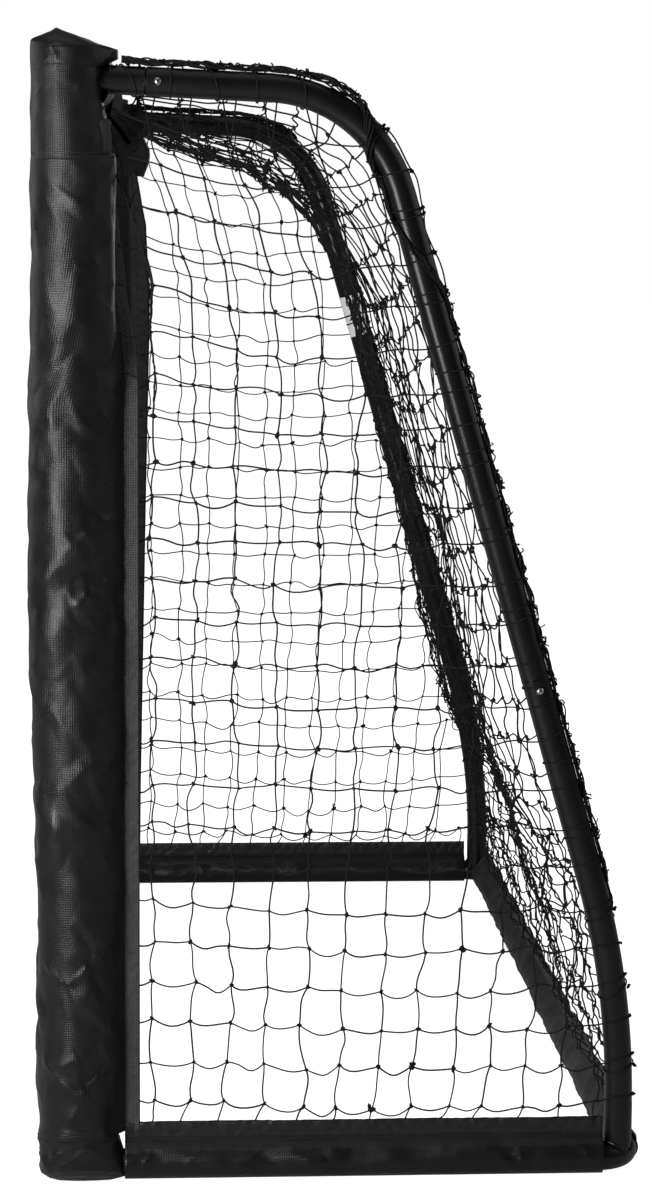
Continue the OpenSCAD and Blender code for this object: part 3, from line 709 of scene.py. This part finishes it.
def facets(s, z, cell, rises):
    # crumpled cloth: flat facets that meet in creases, about 1 high either way
    out = np.zeros(s.shape)
    corners = [(0, 0), (0.0011, 0), (-0.0011, 0), (0, 0.0011), (0, -0.0011)]
    for ds, dz in corners:
        x, y = (s + ds) / cell[0], (z + dz) / cell[1]
        x, y = (x + 0.30 * np.sin(y * 2.1 + 1) + 0.16 * np.sin(y * 5.3 + x),
                y + 0.30 * np.sin(x * 2.3) + 0.14 * np.sin(x * 6.1 + y))
        i, j = np.floor(x).astype(int), np.floor(y).astype(int)
        fx, fy = x - i, y - j
        a, b, c, d = (rises[(j + q) % rises.shape[0], (i + p) % rises.shape[1]]
                      for p, q in ((0, 0), (1, 0), (0, 1), (1, 1)))
        rise = np.where(fx > fy, a + fx * (b - a) + fy * (d - b), a + fy * (c - a) + fx * (d - c))
        fall = np.where(fx + fy < 1, a + fx * (b - a) + fy * (c - a),
                        d + (1 - fx) * (c - d) + (1 - fy) * (b - d))
        out += np.where((i + j) % 2 == 0, rise, fall) / len(corners)
    return out


def fromFront(a, b):
    # angle round a sleeve from the side opposite the flap
    return np.arctan2(a, -b)


def flapWave(u, share, high, seed):
    # the flap's edge waves a little, and pleats cross it
    wave = sum(np.sin(u * k + seed * p) * w for k, p, w in ((31, 1, 0.5), (73, 2.3, 0.3),
                                                            (140, 4.1, 0.2)))
    fine = np.sin(u * 410 + 3 * np.sin(u * 57 + seed)) * np.sin(u * 97 + seed + 4 * share)
    crush = np.sin(u * 690 + 5 * np.sin(u * 83 + seed)) * np.sin(share * 9 + 3 * np.sin(u * 41))
    return share * high * wave + (0.0006 * fine + 0.0004 * crush) * np.minimum(1, share * 3)


def stitches(path):
    # a row of short stitches along a polyline
    along = np.concatenate([[0], np.cumsum(np.linalg.norm(np.diff(path, axis=0), axis=1))])
    at = np.arange(cloth["pitch"], along[-1] - cloth["pitch"], cloth["pitch"])
    half = cloth["stitch"] / 2
    return np.stack([np.stack([np.interp(s, along, path[:, k]) for k in range(3)], 1)
                     for s in (at - half, at, at + half)], 1)


def closedSeams(rows):
    return [stitches(np.append(row, row[:1], 0)) for row in rows]


def sleeveSection(radius, root, reach):
    # outline of a sleeve whose two edges are drawn together into a flap along +b
    h = cloth["flapHalf"]
    turn = math.atan2(root, h) - math.acos(radius / math.hypot(root, h))
    edge = np.array([radius * math.cos(turn), radius * math.sin(turn)])
    a = np.linspace(turn, math.pi - turn - tau, max(48, int(radius * tau / cloth["step"])))
    ring = np.stack([radius * np.cos(a), radius * np.sin(a)], 1)
    lead = np.linspace([h, root], edge, 8)[:-1]
    flap = np.linspace([h, reach], [h, root], 17)[:-1]
    flap[:, 0] += cloth["fold"] * smoothstep((flap[:, 1] - reach + cloth["hem"]) / 0.0012)
    flap[0, 0] = 0.0004
    mirror = np.array([-1, 1])
    return np.concatenate([flap, lead, ring, (lead * mirror)[::-1], (flap * mirror)[::-1]])


def sleeve(name, start, axis, flapWay, length, radius, reach, drape, replaced, restsOn,
           finish="cover", turn=None, longer=None, flapSheenAndMatt=0.2):
    # a cloth sleeve with its sewn flap; drape gives how far the cloth stands out and waves
    axis, flapWay = np.array(axis, float), np.array(flapWay, float)
    side = np.cross(flapWay, axis)
    root = radius + cloth["root"]
    outline = sleeveSection(radius, root, reach)
    across = np.concatenate([[0], np.cumsum(np.linalg.norm(np.diff(outline, axis=0), axis=1))])
    tangent = np.gradient(outline, axis=0)
    tangent /= np.linalg.norm(tangent, axis=1, keepdims=True)
    normal = np.stack([-tangent[:, 1], tangent[:, 0]], 1)
    normal *= np.sign((normal * outline).sum(1, keepdims=True) + 1e-9)
    onFlap = outline[:, 1] > root + 1e-6
    normal[onFlap] = np.stack([np.sign(outline[onFlap, 0]), 0 * outline[onFlap, 0]], 1)
    share = np.clip((outline[:, 1] - root) / (reach - root), 0, 1)
    along = np.linspace(0, length, int(length / cloth["step"]) + 1)
    u = np.broadcast_to(along[:, None], (len(along), len(outline)))
    a, b = (np.broadcast_to(outline[None, :, k], u.shape) for k in (0, 1))
    if longer is not None:
        b = b + share * longer(along)[:, None]
    out, wave = drape(u, a, b, share)
    a, b = a + normal[:, 0] * out + wave, b + normal[:, 1] * out
    if turn is not None:
        angle = turn(along)[:, None]
        a, b = a * np.cos(angle) - b * np.sin(angle), a * np.sin(angle) + b * np.cos(angle)
    points = start + u[..., None] * axis + a[..., None] * side + b[..., None] * flapWay
    points[..., 2] = np.maximum(points[..., 2], 0.0006)
    edge = smoothstep(share * 6)
    fold = smoothstep((outline[:, 1] / radius - 0.84) / 0.12)   # matt where the two edges meet
    # the cloth's third value: a painted sheen on the flap where positive, only matt where negative
    piece = addMesh(name, [(points, gridFaces(*u.shape))], finish, replaced,
                    (u, across[None], (flapSheenAndMatt * edge - fold * (1 - edge))[None]), cloth["thick"])
    more = 0 if longer is None else 2 * float(longer(along).mean())
    float(across[-1]) + more
    sewn = []
    for row in cloth["stitchRows"]:   # sewn rows on both faces of the flap
        for reached in (row, across[-1] - row):
            i = int(np.argmin(abs(across - reached)))
            face = points[:, i] - points[:, len(outline) - 1 - i]
            face /= np.linalg.norm(face, axis=1, keepdims=True) + 1e-9
            sewn.append(stitches(points[:, i] + face * 0.0003))
    return sewn


# ---- pads and covers

pad = {"outer": 0.0376, "inner": 0.0152, "slit": 0.005, "around": 56, "round": 0.005, "fill": 0.9}
post = {"low": 0.0495, "high": topZ - 0.0725, "flap": 0.0628, "padLow": 0.0311, "padLong": 1.0319,
        "creased": (-0.0013, 0.0042)}

# how far the post's cover stands in front of the post, from the foot up: (height, reach)
postFront = np.array([(0.050, 0.0385), (0.100, 0.0392), (0.136, 0.0388), (0.171, 0.0382),
                      (0.219, 0.0388), (0.319, 0.0392), (0.389, 0.0413), (0.463, 0.0432),
                      (0.580, 0.0446), (0.700, 0.0438), (0.780, 0.0432), (0.900, 0.0420),
                      (0.980, 0.0412), (1.030, 0.0402)])
# how high the crumples are, from the foot up
postCrumple = [(0.05, 0.0024), (0.25, 0.0023), (0.45, 0.0022), (0.8, 0.0018), (1.02, 0.0013)]
# the top of each flap is pulled round towards the goal's inside: (height, degrees)
flapTurn = [(0.78, 0), (0.80, 4), (0.84, 22), (0.89, 35), (0.985, 52), (1.03, 54)]
# the left flap is wider higher up: (height, reach beyond the usual)
leftFlap = [(0.05, -0.003), (0.143, -0.002), (0.56, 0.006), (0.865, 0.013), (0.957, 0.009),
            (1.025, -0.003), (1.06, -0.005)]
# the strongest creases of the right post's cover: y, z to y, z, height, width
postCreases = [(-0.0273, 0.9309, -0.0154, 0.9290, 0.0011, 0.0024),
               (-0.0154, 0.9290, -0.0013, 0.9237, 0.0013, 0.0024),
               (-0.0250, 0.9237, -0.0132, 0.9152, 0.0012, 0.0024),
               (-0.0132, 0.9152, -0.0013, 0.9225, 0.0012, 0.0024),
               (0.0380, 0.6790, 0.0284, 0.6730, 0.0020, 0.0042),
               (0.0284, 0.6730, 0.0117, 0.6620, 0.0024, 0.0046),
               (0.0117, 0.6620, -0.0003, 0.6480, 0.0026, 0.0048),
               (-0.0003, 0.6480, -0.0240, 0.6160, 0.0022, 0.0046),
               (0.0305, 0.6120, 0.0117, 0.6020, 0.0023, 0.0040),
               (0.0117, 0.6020, 0.0021, 0.5900, 0.0021, 0.0040),
               (0.0213, 0.2420, 0.0060, 0.2230, 0.0026, 0.0042),
               (0.0060, 0.2230, -0.0074, 0.2110, 0.0030, 0.0044),
               (-0.0326, 0.2326, -0.0170, 0.2148, 0.0019, 0.0040),
               (-0.0170, 0.2148, -0.0074, 0.2118, 0.0019, 0.0040),
               (0.0091, 0.1398, -0.0170, 0.1279, 0.0032, 0.0044),
               (-0.0147, 0.1121, 0.0043, 0.0963, 0.0028, 0.0044),
               (0.0043, 0.0963, 0.0285, 0.1250, 0.0034, 0.0048),
               (0.0069, 0.0963, -0.0074, 0.0692, 0.0024, 0.0042),
               (-0.0326, 0.1329, -0.0170, 0.1151, 0.0020, 0.0040)]


def padTube(name, start, axis, slitWay, length, replaced, front=None):
    # foam tube with a slit along it, pushed over the steel
    axis, slitWay = np.array(axis, float), np.array(slitWay, float)
    side = np.cross(slitWay, axis)
    gapOut, gapIn = (math.asin(pad["slit"] / 2 / pad[k]) for k in ("outer", "inner"))
    outer, inner = (np.linspace(g, tau - g, pad["around"]) for g in (gapOut, gapIn))
    tips = pad["round"] * np.array([0, 0.16, 0.5, 1])
    along = np.concatenate([tips, np.linspace(0.02, length - 0.02, 60), length - tips[::-1]])
    ends = np.clip(np.minimum(along, length - along) / pad["round"], 0, 1)
    soft = 0.004 * (1 - np.sqrt(np.clip(1 - (1 - ends) ** 2, 0, 1)))
    loops = []
    for a, r, sign, much in ((outer, pad["outer"], -1, 1), (inner[::-1], pad["inner"], 1, 0.4)):
        size = r + sign * soft[:, None] * much + np.zeros(len(a))
        if front is not None and sign < 0:
            lead = np.clip(-np.cos(a), 0, 1)[None]
            size = size + lead * (np.interp(along, *front) - padR)[:, None]
        loops.append(start + along[:, None, None] * axis + (size * np.cos(a))[..., None] * slitWay
                     + (size * np.sin(a))[..., None] * side)
    points = np.concatenate(loops, 1)
    count = points.shape[1]
    faces = [gridFaces(len(along), count, ring=True)]
    k = np.arange(pad["around"] - 1)
    cap = np.stack([k, k + 1, count - 2 - k, count - 1 - k], 1)
    faces += [cap, (cap + (len(along) - 1) * count)[:, ::-1]]
    piece = addMesh(name, [(points.reshape(-1, 3), np.concatenate(faces))], "foam", replaced)


def postCover(side, word, tag):
    x, low, high = side * halfWidth, post["low"], post["high"]
    rises = rng.normal(size=(40, 12))
    half = math.pi * padR
    creases = scatter(46, (-half, half), (0.06, 1.02), (15, 65), (0.02, 0.06), (0.0004, 0.0013),
                      (0.002, 0.004))
    creases += scatter(70, (0.72 * half, 0.95 * half), (0.07, 0.78), (20, 60), (0.010, 0.028),
                       (0.0005, 0.0015), (0.0014, 0.0028))
    if side > 0:
        creases += [(padR * math.acos(-y1 / padR), z1, padR * math.acos(-y2 / padR), z2, up, wide)
                    for y1, z1, y2, z2, up, wide in postCreases]

    def drape(u, a, b, share):
        z = u + low
        s = padR * fromFront(a * side, b)
        body = 1 - smoothstep((b - padR - 0.001) / 0.006)
        front = np.clip(-b / padR, 0, 1) * (np.interp(z, *postFront.T) - padR)
        out = table(z, postCrumple) * (facets(s, z, (0.027, 0.033), rises) + 0.2)
        out = front + np.clip(out + ridges(s, z, creases), *post["creased"])
        ends = smoothstep(np.minimum(u, high - low - u) / 0.012 + 0.1)
        return out * body * (0.25 + 0.75 * ends), flapWave(u, share, 0.0016, 2.0 + side)

    # the right post's flap gets a painted sheen; the left post's flap is only made matt
    inward, longer, flapSheenAndMatt = (1, None, 1.0) if side > 0 else (
        -0.35, lambda u: table(u + low, leftFlap), -0.8)
    sewn = sleeve("postCover" + word, (x, postY, low), (0, 0, 1), (0, 1, 0), high - low, padR,
                  post["flap"], drape, "post_cover_" + tag, ["front_post_" + tag, "post_pad_" + tag],
                  turn=lambda u: inward * np.radians(table(u + low, flapTurn)), longer=longer,
                  flapSheenAndMatt=flapSheenAndMatt)
    front = np.array([(0.0, 0.0362), *(postFront - [post["padLow"], 0.0004])]).T
    padTube("postPad" + word, (x, postY, post["padLow"]), (0, 0, 1), (0, 1, 0), post["padLong"],
            "post_pad_" + tag, front)
    return sewn


railCover = {"flap": 0.0418, "sideLong": 0.4875, "rearLong": 1.276}


def railBody(b, above, soft):
    # 1 on the tube, 0 on the flap and underneath, where the cover lies flat
    return (1 - smoothstep((b - railR - above) / soft)) * smoothstep(b / railR * 1.6 + 1.6)


def sideRailCover(side, word, tag):
    rises = rng.normal(size=(30, 6))
    creases = scatter(60, (-math.pi * railR, math.pi * railR), (0, 0.48), (10, 75), (0.01, 0.035),
                      (0.0005, 0.0014), (0.0014, 0.0028))

    def drape(u, a, b, share):
        s = railR * fromFront(a, b)
        pinch = np.exp(-((b - railR - 0.0085 - 0.0012 * np.sin(u * 60)) / 0.0016) ** 2)
        belly = 0.0016 * np.exp(-((b - railR - 0.0035) / 0.004) ** 2)
        out = 0.0013 * facets(s, u, (0.022, 0.030), rises) + ridges(s, u, creases)
        return (out * railBody(b, 0.002, 0.005) + belly - 0.0006 * pinch,
                flapWave(u, share, 0.0014, 5.0))

    return sleeve("sideRailCover" + word, (side * halfWidth, postY + 0.0480, baseZ), (0, 1, 0),
                  (0, 0, 1), railCover["sideLong"], railR, railCover["flap"], drape,
                  "side_rail_cover_" + tag, ["side_rail_" + tag])


def rearBarCover():
    rises = rng.normal(size=(60, 6))
    creases = scatter(150, (-math.pi * railR, math.pi * railR), (0, 1.27), (0, 40), (0.015, 0.045),
                      (0.0004, 0.0014), (0.0012, 0.0026))

    def drape(u, a, b, share):
        s = railR * fromFront(a, b)
        pinch = 0.0010 * np.exp(-((((u + 0.05) % 0.214) - 0.107) / 0.010) ** 2)
        out = 0.0010 * facets(s, u, (0.022, 0.028), rises) + ridges(s, u, creases)
        return ((np.maximum(out, -0.0012) - pinch) * railBody(b, 0.004, 0.006),
                flapWave(u, share, 0.0032, 9.0) + pinch * share)

    return sleeve("rearBarCover", (-railCover["rearLong"] / 2, postY + goal["depth"], baseZ), (1, 0, 0),
                  (0, 0, 1), railCover["rearLong"], railR, railCover["flap"], drape,
                  "rear_bar_cover", ["rear_bar"], finish="rear")


crossCover = {"long": 1.187, "padLong": 1.324, "slitWay": (0, 0.906, -0.423)}


def crossbarCover():
    rises = rng.normal(size=(60, 14))
    creases = scatter(90, (-math.pi * padR, math.pi * padR), (0, crossCover["long"]), (5, 60),
                      (0.02, 0.06), (0.0005, 0.0016), (0.002, 0.004))

    def drape(u, a, b, share):
        s = padR * fromFront(a, b)
        body = 1 - smoothstep((b - padR - 0.001) / 0.006)
        out = 0.0013 * facets(s, u, (0.030, 0.034), rises) + ridges(s, u, creases)
        return np.maximum(out, -0.0012) * body, flapWave(u, share, 0.0042, 1.3)

    def droop(u):
        return np.radians(-27 + 7 * np.sin(u * 23) + 5 * np.sin(u * 51 + 1)
                          - 16 * smoothstep((0.30 - u) / 0.3) - 20 * smoothstep((u - 1.05) / 0.1))

    def longer(u):
        return 0.010 * smoothstep((0.45 - u) / 0.4) + 0.019 * smoothstep((u - 1.00) / 0.15)

    sewn = sleeve("crossbarCover", (-crossCover["long"] / 2, postY, topZ), (1, 0, 0), (0, 1, 0),
                  crossCover["long"], padR, post["flap"], drape, "crossbar_cover",
                  ["crossbar", "crossbar_pad"], finish="dull", turn=droop, longer=longer, flapSheenAndMatt=-1.0)
    padTube("crossbarPad", (-crossCover["padLong"] / 2, postY, topZ), (1, 0, 0),
            crossCover["slitWay"], crossCover["padLong"], "crossbar_pad")
    return sewn


# ---- corner caps and boots, sewn to the posts' covers

def pushOut(points, x0, out):
    # moves points away from a post's axis by out; gives the way too
    away = points - np.array([x0, postY, 0])
    away[..., 2] = 0
    away /= np.linalg.norm(away, axis=-1, keepdims=True) + 1e-9
    return points + away * out[..., None], away


# the corner cap's sections: height above the crossbar's middle, front, rear, half width
capSections = np.array([(-0.0790, -0.0407, 0.0345, 0.0407), (-0.060, -0.0406, 0.0340, 0.0406),
                        (-0.040, -0.0404, 0.0325, 0.0402), (-0.020, -0.0403, 0.0290, 0.0400),
                        (0.000, -0.0408, 0.0280, 0.0398), (0.0100, -0.0410, 0.0280, 0.0397),
                        (0.0150, -0.0410, 0.0380, 0.0396), (0.0180, -0.0410, 0.0445, 0.0394),
                        (0.0270, -0.0407, 0.0445, 0.0385), (0.0300, -0.0405, 0.0320, 0.0375),
                        (0.0330, -0.0400, 0.0230, 0.0355), (0.0370, -0.0385, 0.0130, 0.0300),
                        (0.0405, -0.0300, 0.0040, 0.0240), (0.0445, -0.0205, -0.0080, 0.0130),
                        (0.0476, -0.0160, -0.0150, 0.0005)])
# the left cap's seam stands out behind the post: (height, reach)
leftSeam = [(-0.079, 0.069), (-0.040, 0.073), (-0.012, 0.067), (0.004, 0.046), (0.010, 0.028)]
# the cap's folds: along the outside from the front, height, to the same, height, width
capFolds = [(0.004, 0.0350, 0.040, 0.0300, 0.0012, 0.0030),
            (0.040, 0.0300, 0.048, 0.0180, 0.0016, 0.0028),
            (0.048, 0.0180, 0.050, -0.0300, 0.0007, 0.0030),
            (0.092, 0.0080, 0.118, 0.0300, 0.0018, 0.0030),
            (0.086, -0.0120, 0.106, -0.0300, 0.0018, 0.0030),
            (0.088, 0.0020, 0.100, -0.0200, 0.0014, 0.0026),
            (0.094, -0.0250, 0.108, -0.0480, 0.0016, 0.0030),
            (0.070, 0.0120, 0.100, 0.0130, -0.0016, 0.0035)]
cap = {"around": 120, "girth": 0.04, "rear": 0.034, "seams": (-0.0775, -0.0715), "armFrom": 0.585,
       "armR": 0.0404}


def capShape(side, word, tag):
    # corner cap: a round sleeve whose top is folded to a ridge
    x0 = side * halfWidth
    heights = capSections[:, 0]
    fine = np.concatenate([np.linspace(heights[0], 0.010, 40)[:-1],
                           np.linspace(0.010, heights[-1], 34)])[:, None]
    front, rear, wide = (np.interp(fine, heights, capSections[:, k]) for k in (1, 2, 3))
    a = np.linspace(-math.pi, math.pi, cap["around"], endpoint=False)[None]   # 0 is the outer side
    c, s = np.cos(a), np.sin(a)
    body = np.minimum(rear, cap["rear"])
    if side < 0:
        rear = np.where(fine < leftSeam[-1][0], table(fine, leftSeam) + 0.003 * np.sin(fine * 90), rear)
    y = (front + body) / 2 + (body - front) / 2 * s + np.maximum(0, s) ** 8 * (rear - body)
    ear = smoothstep((y - 0.020) / 0.02) * smoothstep((fine - 0.011) / 0.006)
    x = wide * c / (1 - 0.25 * np.maximum(0, s) ** 3) * (1 - 0.30 * ear)
    z = fine + 0 * y
    points = np.stack([x0 + side * x, postY + y, topZ + z], -1)
    outer = cap["girth"] * np.arctan2(x, -y)   # 0 at the front, along the outer side
    creases = scatter(14, (-0.12, 0.12), (-0.05, 0.02), (20, 70), (0.012, 0.035), (0.0004, 0.0010),
                      (0.0016, 0.003)) + capFolds
    out = ridges(outer, z, creases) + 0.0007 * facets(outer, z, (0.030, 0.030),
                                                      rng.normal(size=(9, 12)))
    calm = smoothstep((fine - fine[0]) / 0.015) * (1 - smoothstep((z - 0.034) / 0.008))
    points = pushOut(points, x0, out * calm)[0]
    piece = addMesh("cornerCap" + word, [(points, gridFaces(*y.shape, ring=True))], "cover",
                    "corner_cap_" + tag, (fine - fine[0], a * cap["girth"]), cloth["thick"])
    0.25 if side > 0 else 0.31
    "front_post_" + tag
    "post_pad_" + tag
    return closedSeams([points[int(np.argmin(abs(fine - h)))] for h in cap["seams"]])


def capArm(side, word):
    # the cap's arm along the crossbar
    xs = np.linspace(cap["armFrom"], halfWidth + 0.012, 44)[:, None]
    a = np.linspace(-math.pi / 2, 1.5 * math.pi, 96, endpoint=False)[None]
    r = cap["armR"] - 0.0030 * smoothstep((xs - 0.640) / 0.03) + 0 * a
    u, s = xs + 0 * r, cap["girth"] * a + 0 * r
    creases = scatter(16, (-0.06, 0.19), (0.59, 0.67), (20, 80), (0.012, 0.04), (0.0004, 0.0012),
                      (0.0016, 0.003))
    r = r + ridges(s, u, creases) * smoothstep((u - 0.586) / 0.01) * (1 - smoothstep((u - 0.63) / 0.02))
    points = np.stack([side * u, postY - r * np.cos(a), topZ + r * np.sin(a)], -1)
    piece = addMesh("capArm" + word, [(points, gridFaces(*u.shape, ring=True))], "cover",
                    None, (u, s), cloth["thick"])
    return closedSeams([points[2]])


# the boot's sections from the middle of its bottom to its top: height, front, rear, half width
bootSections = np.array([(0.0008, 0.0, 0.004, 0.002), (0.0010, -0.014, 0.030, 0.012),
                         (0.0020, -0.024, 0.042, 0.022), (0.0045, -0.031, 0.0500, 0.030),
                         (0.0090, -0.0365, 0.0510, 0.0365), (0.0150, -0.0385, 0.0490, 0.0395),
                         (0.0220, -0.0375, 0.0480, 0.0398), (0.0290, -0.0365, 0.0465, 0.0392),
                         (0.0350, -0.0368, 0.0445, 0.0390), (0.0420, -0.0385, 0.0422, 0.0396),
                         (0.0490, -0.0398, 0.0405, 0.0403)])
boot = {"rings": 81, "around": 120, "girth": 0.04, "seams": (74, 78), "lift": 0.0125}


def bootShape(side, word, tag):
    # boot: sewn under the post's cover and drawn out to the base rail, with a folded bottom
    x0 = side * halfWidth
    steps = np.linspace(0, len(bootSections) - 1, boot["rings"])[:, None]
    height, front, rear, wide = (np.interp(steps, np.arange(len(bootSections)), bootSections[:, k])
                                 for k in range(4))
    a = np.linspace(-math.pi, math.pi, boot["around"], endpoint=False)[None]
    c, s = np.cos(a), np.sin(a)
    y = (front + rear) / 2 + (rear - front) / 2 * s
    x = wide * c * np.where(s > 0, np.sqrt(np.maximum(1e-6, 1 - 0.35 * s ** 2)), 1)
    z = height + boot["lift"] * np.clip((np.abs(x) - 0.0135) / 0.0265, 0, 1)
    points = np.stack([x0 + side * x, postY + y, z], -1)
    outer = boot["girth"] * np.arctan2(x, -y)
    rises = rng.normal(size=(9, 12))
    creases = scatter(26, (-0.12, 0.12), (0.006, 0.050), (10, 70), (0.012, 0.040), (0.0005, 0.0016),
                      (0.0016, 0.0032))
    out = 0.0010 * facets(outer, z, (0.026, 0.024), rises) + ridges(outer, z, creases)
    calm = smoothstep(height / 0.010) * smoothstep((0.0495 - height) / 0.005)
    points, away = pushOut(points, x0, out * calm)
    piece = addMesh("postBoot" + word, [(points, gridFaces(*y.shape, ring=True))], "cover",
                    "post_boot_" + tag, (steps * 0.0012, a * boot["girth"]), cloth["thick"])
    "front_post_" + tag
    return closedSeams([points[k] + away[k] * 0.0003 for k in boot["seams"]])


# ---- small pieces on the frame

joints = {"upright": 0.512, "top": (0.0713, 0.0695), "bead": 0.0016, "footBead": 0.0019,
          "rim": 0.0006}


def weldBeads():
    # the beads round each welded stub and under both uprights
    parts = []
    a = np.linspace(0, tau, 49)
    for side, _ in sides:
        for z in (topZ, baseZ):
            saddle = np.sqrt(np.maximum(0.0, tubeR ** 2 - (tubeR * np.cos(a)) ** 2 * 0.98))
            loop = np.stack([side * halfWidth + (tubeR + 0.0002) * np.cos(a),
                             postY + saddle + 0.0008, z + (tubeR + 0.0002) * np.sin(a)], 1)
            parts.append(tubes(loop[None], joints["bead"], 8))
        x, y = side * (halfWidth - cornerInset), postY + goal["depth"] - cornerInset
        way = np.cos(a - math.radians(45 if side > 0 else 135))
        ripple = 0.0004 * np.sin(a * 14)
        z = baseZ + np.sqrt(np.maximum(0, tubeR ** 2 * (1 - 0.93 * way ** 2))) + 0.0006 + ripple
        r = tubeR + 0.0006 + ripple
        parts.append(tubes(np.stack([x + r * np.cos(a), y + r * np.sin(a), z], 1)[None],
                           joints["footBead"], 8))
    addMesh("weldBeads", parts, "paint")


def rims():
    # rims where one tube plugs into the next, in the same paint as the tubes
    a = np.linspace(0, tau, 49)
    joint = backRunAt(joints["upright"])
    addMesh("jointRims", [tubes(onTube(side, np.full(49, s), tubeR - 0.0003, a)[None], joints["rim"], 6)
                          for side, _ in sides
                          for s in (*joints["top"], joint + 0.0013, joint - 0.0004)], "paint")


# ---- light and floor

studio = {"floorGrey": 0.45, "glow": 0.95, "glowInPolish": 0.05, "world": 0.30, "dim": 0.036,
          "backInPolish": 0.13}
# each panel's place, what it is aimed at, its size and its power
panels = {"keyPanel": ((1.72, -1.02, 0.85), (0.67, -0.05, 0.75), (0.45, 1.1), 30.0),
          "rearPanel": ((0.3, 2.9, 1.9), (0, 0.2, 0.5), (3.2, 2.0), 18.0),
          "leftPanel": ((-2.8, 0.9, 1.5), (-0.6, 0, 0.5), (1.8, 1.8), 12.0),
          "frontPanel": ((-1.4, -2.9, 1.3), (0, 0, 0.5), (2.0, 1.6), 14.0),
          "topPanel": ((0.4, -0.4, 3.6), (0, 0, 0), (3.0, 3.0), 16.0)}


def makeSky():
    world = bpy.data.worlds.new("studio")
    bpy.context.scene.world = world
    world.use_nodes = True
    world.node_tree.nodes.clear()
    sky = Nodes(world.node_tree)
    ray = sky.node("ShaderNodeLightPath")
    polish = sky.node("ShaderNodeMath", {"operation": "ADD", "use_clamp": True},
                      {0: ray.also("Is Glossy Ray"), 1: ray.also("Is Transmission Ray")})
    way = sky.node("ShaderNodeTexCoord", out="Generated").part(0)
    backdrop = sky.node("ShaderNodeMapRange", {"interpolation_type": "SMOOTHSTEP"},
                        {"Value": way, "From Min": -0.80, "From Max": -0.95,
                         "To Min": studio["dim"], "To Max": studio["backInPolish"]})
    unseen = sky.node("ShaderNodeMix", {}, {0: polish, 2: studio["world"], 3: backdrop})
    strength = sky.node("ShaderNodeMix", {}, {0: ray.also("Is Camera Ray"), 2: unseen, 3: 1.0})
    light = sky.node("ShaderNodeBackground", {}, {"Color": (1, 1, 1, 1), "Strength": strength})
    sky.node("ShaderNodeOutputWorld", {}, {"Surface": light})


def makeFloor():
    floor = Finish("paleFloor")
    ray = floor.node("ShaderNodeLightPath", out="Is Camera Ray")
    seen = (ray + ray.also("Is Glossy Ray") * studio["glowInPolish"]).clamp()
    floor.set(baseColor=floor.mix(floor.cloudy(4, 2), grey(studio["floorGrey"]),
                                  grey(studio["floorGrey"] + 0.02)),
              roughness=0.9, specular=0.1, glowColor=(1, 1, 1, 1), glow=seen * studio["glow"])
    half, low = 30.0, -0.0006
    mesh = bpy.data.meshes.new("floor")
    mesh.from_pydata([(-half, -half, low), (half, -half, low), (half, half, low), (-half, half, low)],
                     [], [[0, 1, 2, 3]])
    mesh.materials.append(floor.material)
    ground = bpy.data.objects.new("floor", mesh)
    bpy.context.scene.collection.objects.link(ground)


def makePanels():
    for name, (place, aim, size, power) in panels.items():
        data = bpy.data.lights.new(name, "AREA")
        data.shape, data.size, data.size_y, data.energy = "RECTANGLE", *size, power
        lamp = bpy.data.objects.new(name, data)
        bpy.context.scene.collection.objects.link(lamp)
        lamp.location = place
        lamp.visible_camera = False
        lamp.rotation_euler = (Vector(aim) - Vector(place)).to_track_quat("-Z", "Y").to_euler()


makeCamera()
makeSky()
makeFloor()
makePanels()
paintNodes()
print("camera, light and frame ready")

rows, grid, slack = acrossGrid()
topRow = int(np.searchsorted(rows, run[59])) - 1
shoulderRow = int(np.searchsorted(rows, run[118])) + 1
acrossNet("topNet", "top_net", rows, grid, slack, 0, topRow, topEdge=(postY + 0.055, topZ - 0.026))
acrossNet("shoulderNet", "shoulder_net", rows, grid, slack, topRow + 1, shoulderRow)
acrossNet("backNet", "back_net", rows, grid, slack, shoulderRow + 1, len(rows) - 1,
          footEdge=(postY + goal["depth"], 0.052))
for side, word in sides:
    sideNet("sideNet" + word, side, "side_net_" + word.lower())
    gatheredEdge("netEdge" + word, side, "net_edge_" + word.lower())
    tubeTies("netTies" + word, side, "net_ties_" + word.lower())
print("nets ready")

sewn = []
for side, word in sides:
    sewn += postCover(side, word, word.lower()) + sideRailCover(side, word, word.lower())
sewn += rearBarCover() + crossbarCover()
addMesh("flapStitches", [tubes(row, cloth["thread"], 4) for row in sewn], "thread")
sewn = []
for side, word in sides:
    sewn += capShape(side, word, word.lower()) + capArm(side, word)
    sewn += bootShape(side, word, word.lower())
addMesh("seamStitches", [tubes(row, cloth["seamThread"], 4) for row in sewn], "thread")
print("covers ready")

weldBeads()
rims()
bpy.context.scene.view_settings.view_transform = "Standard"
print("scene ready")
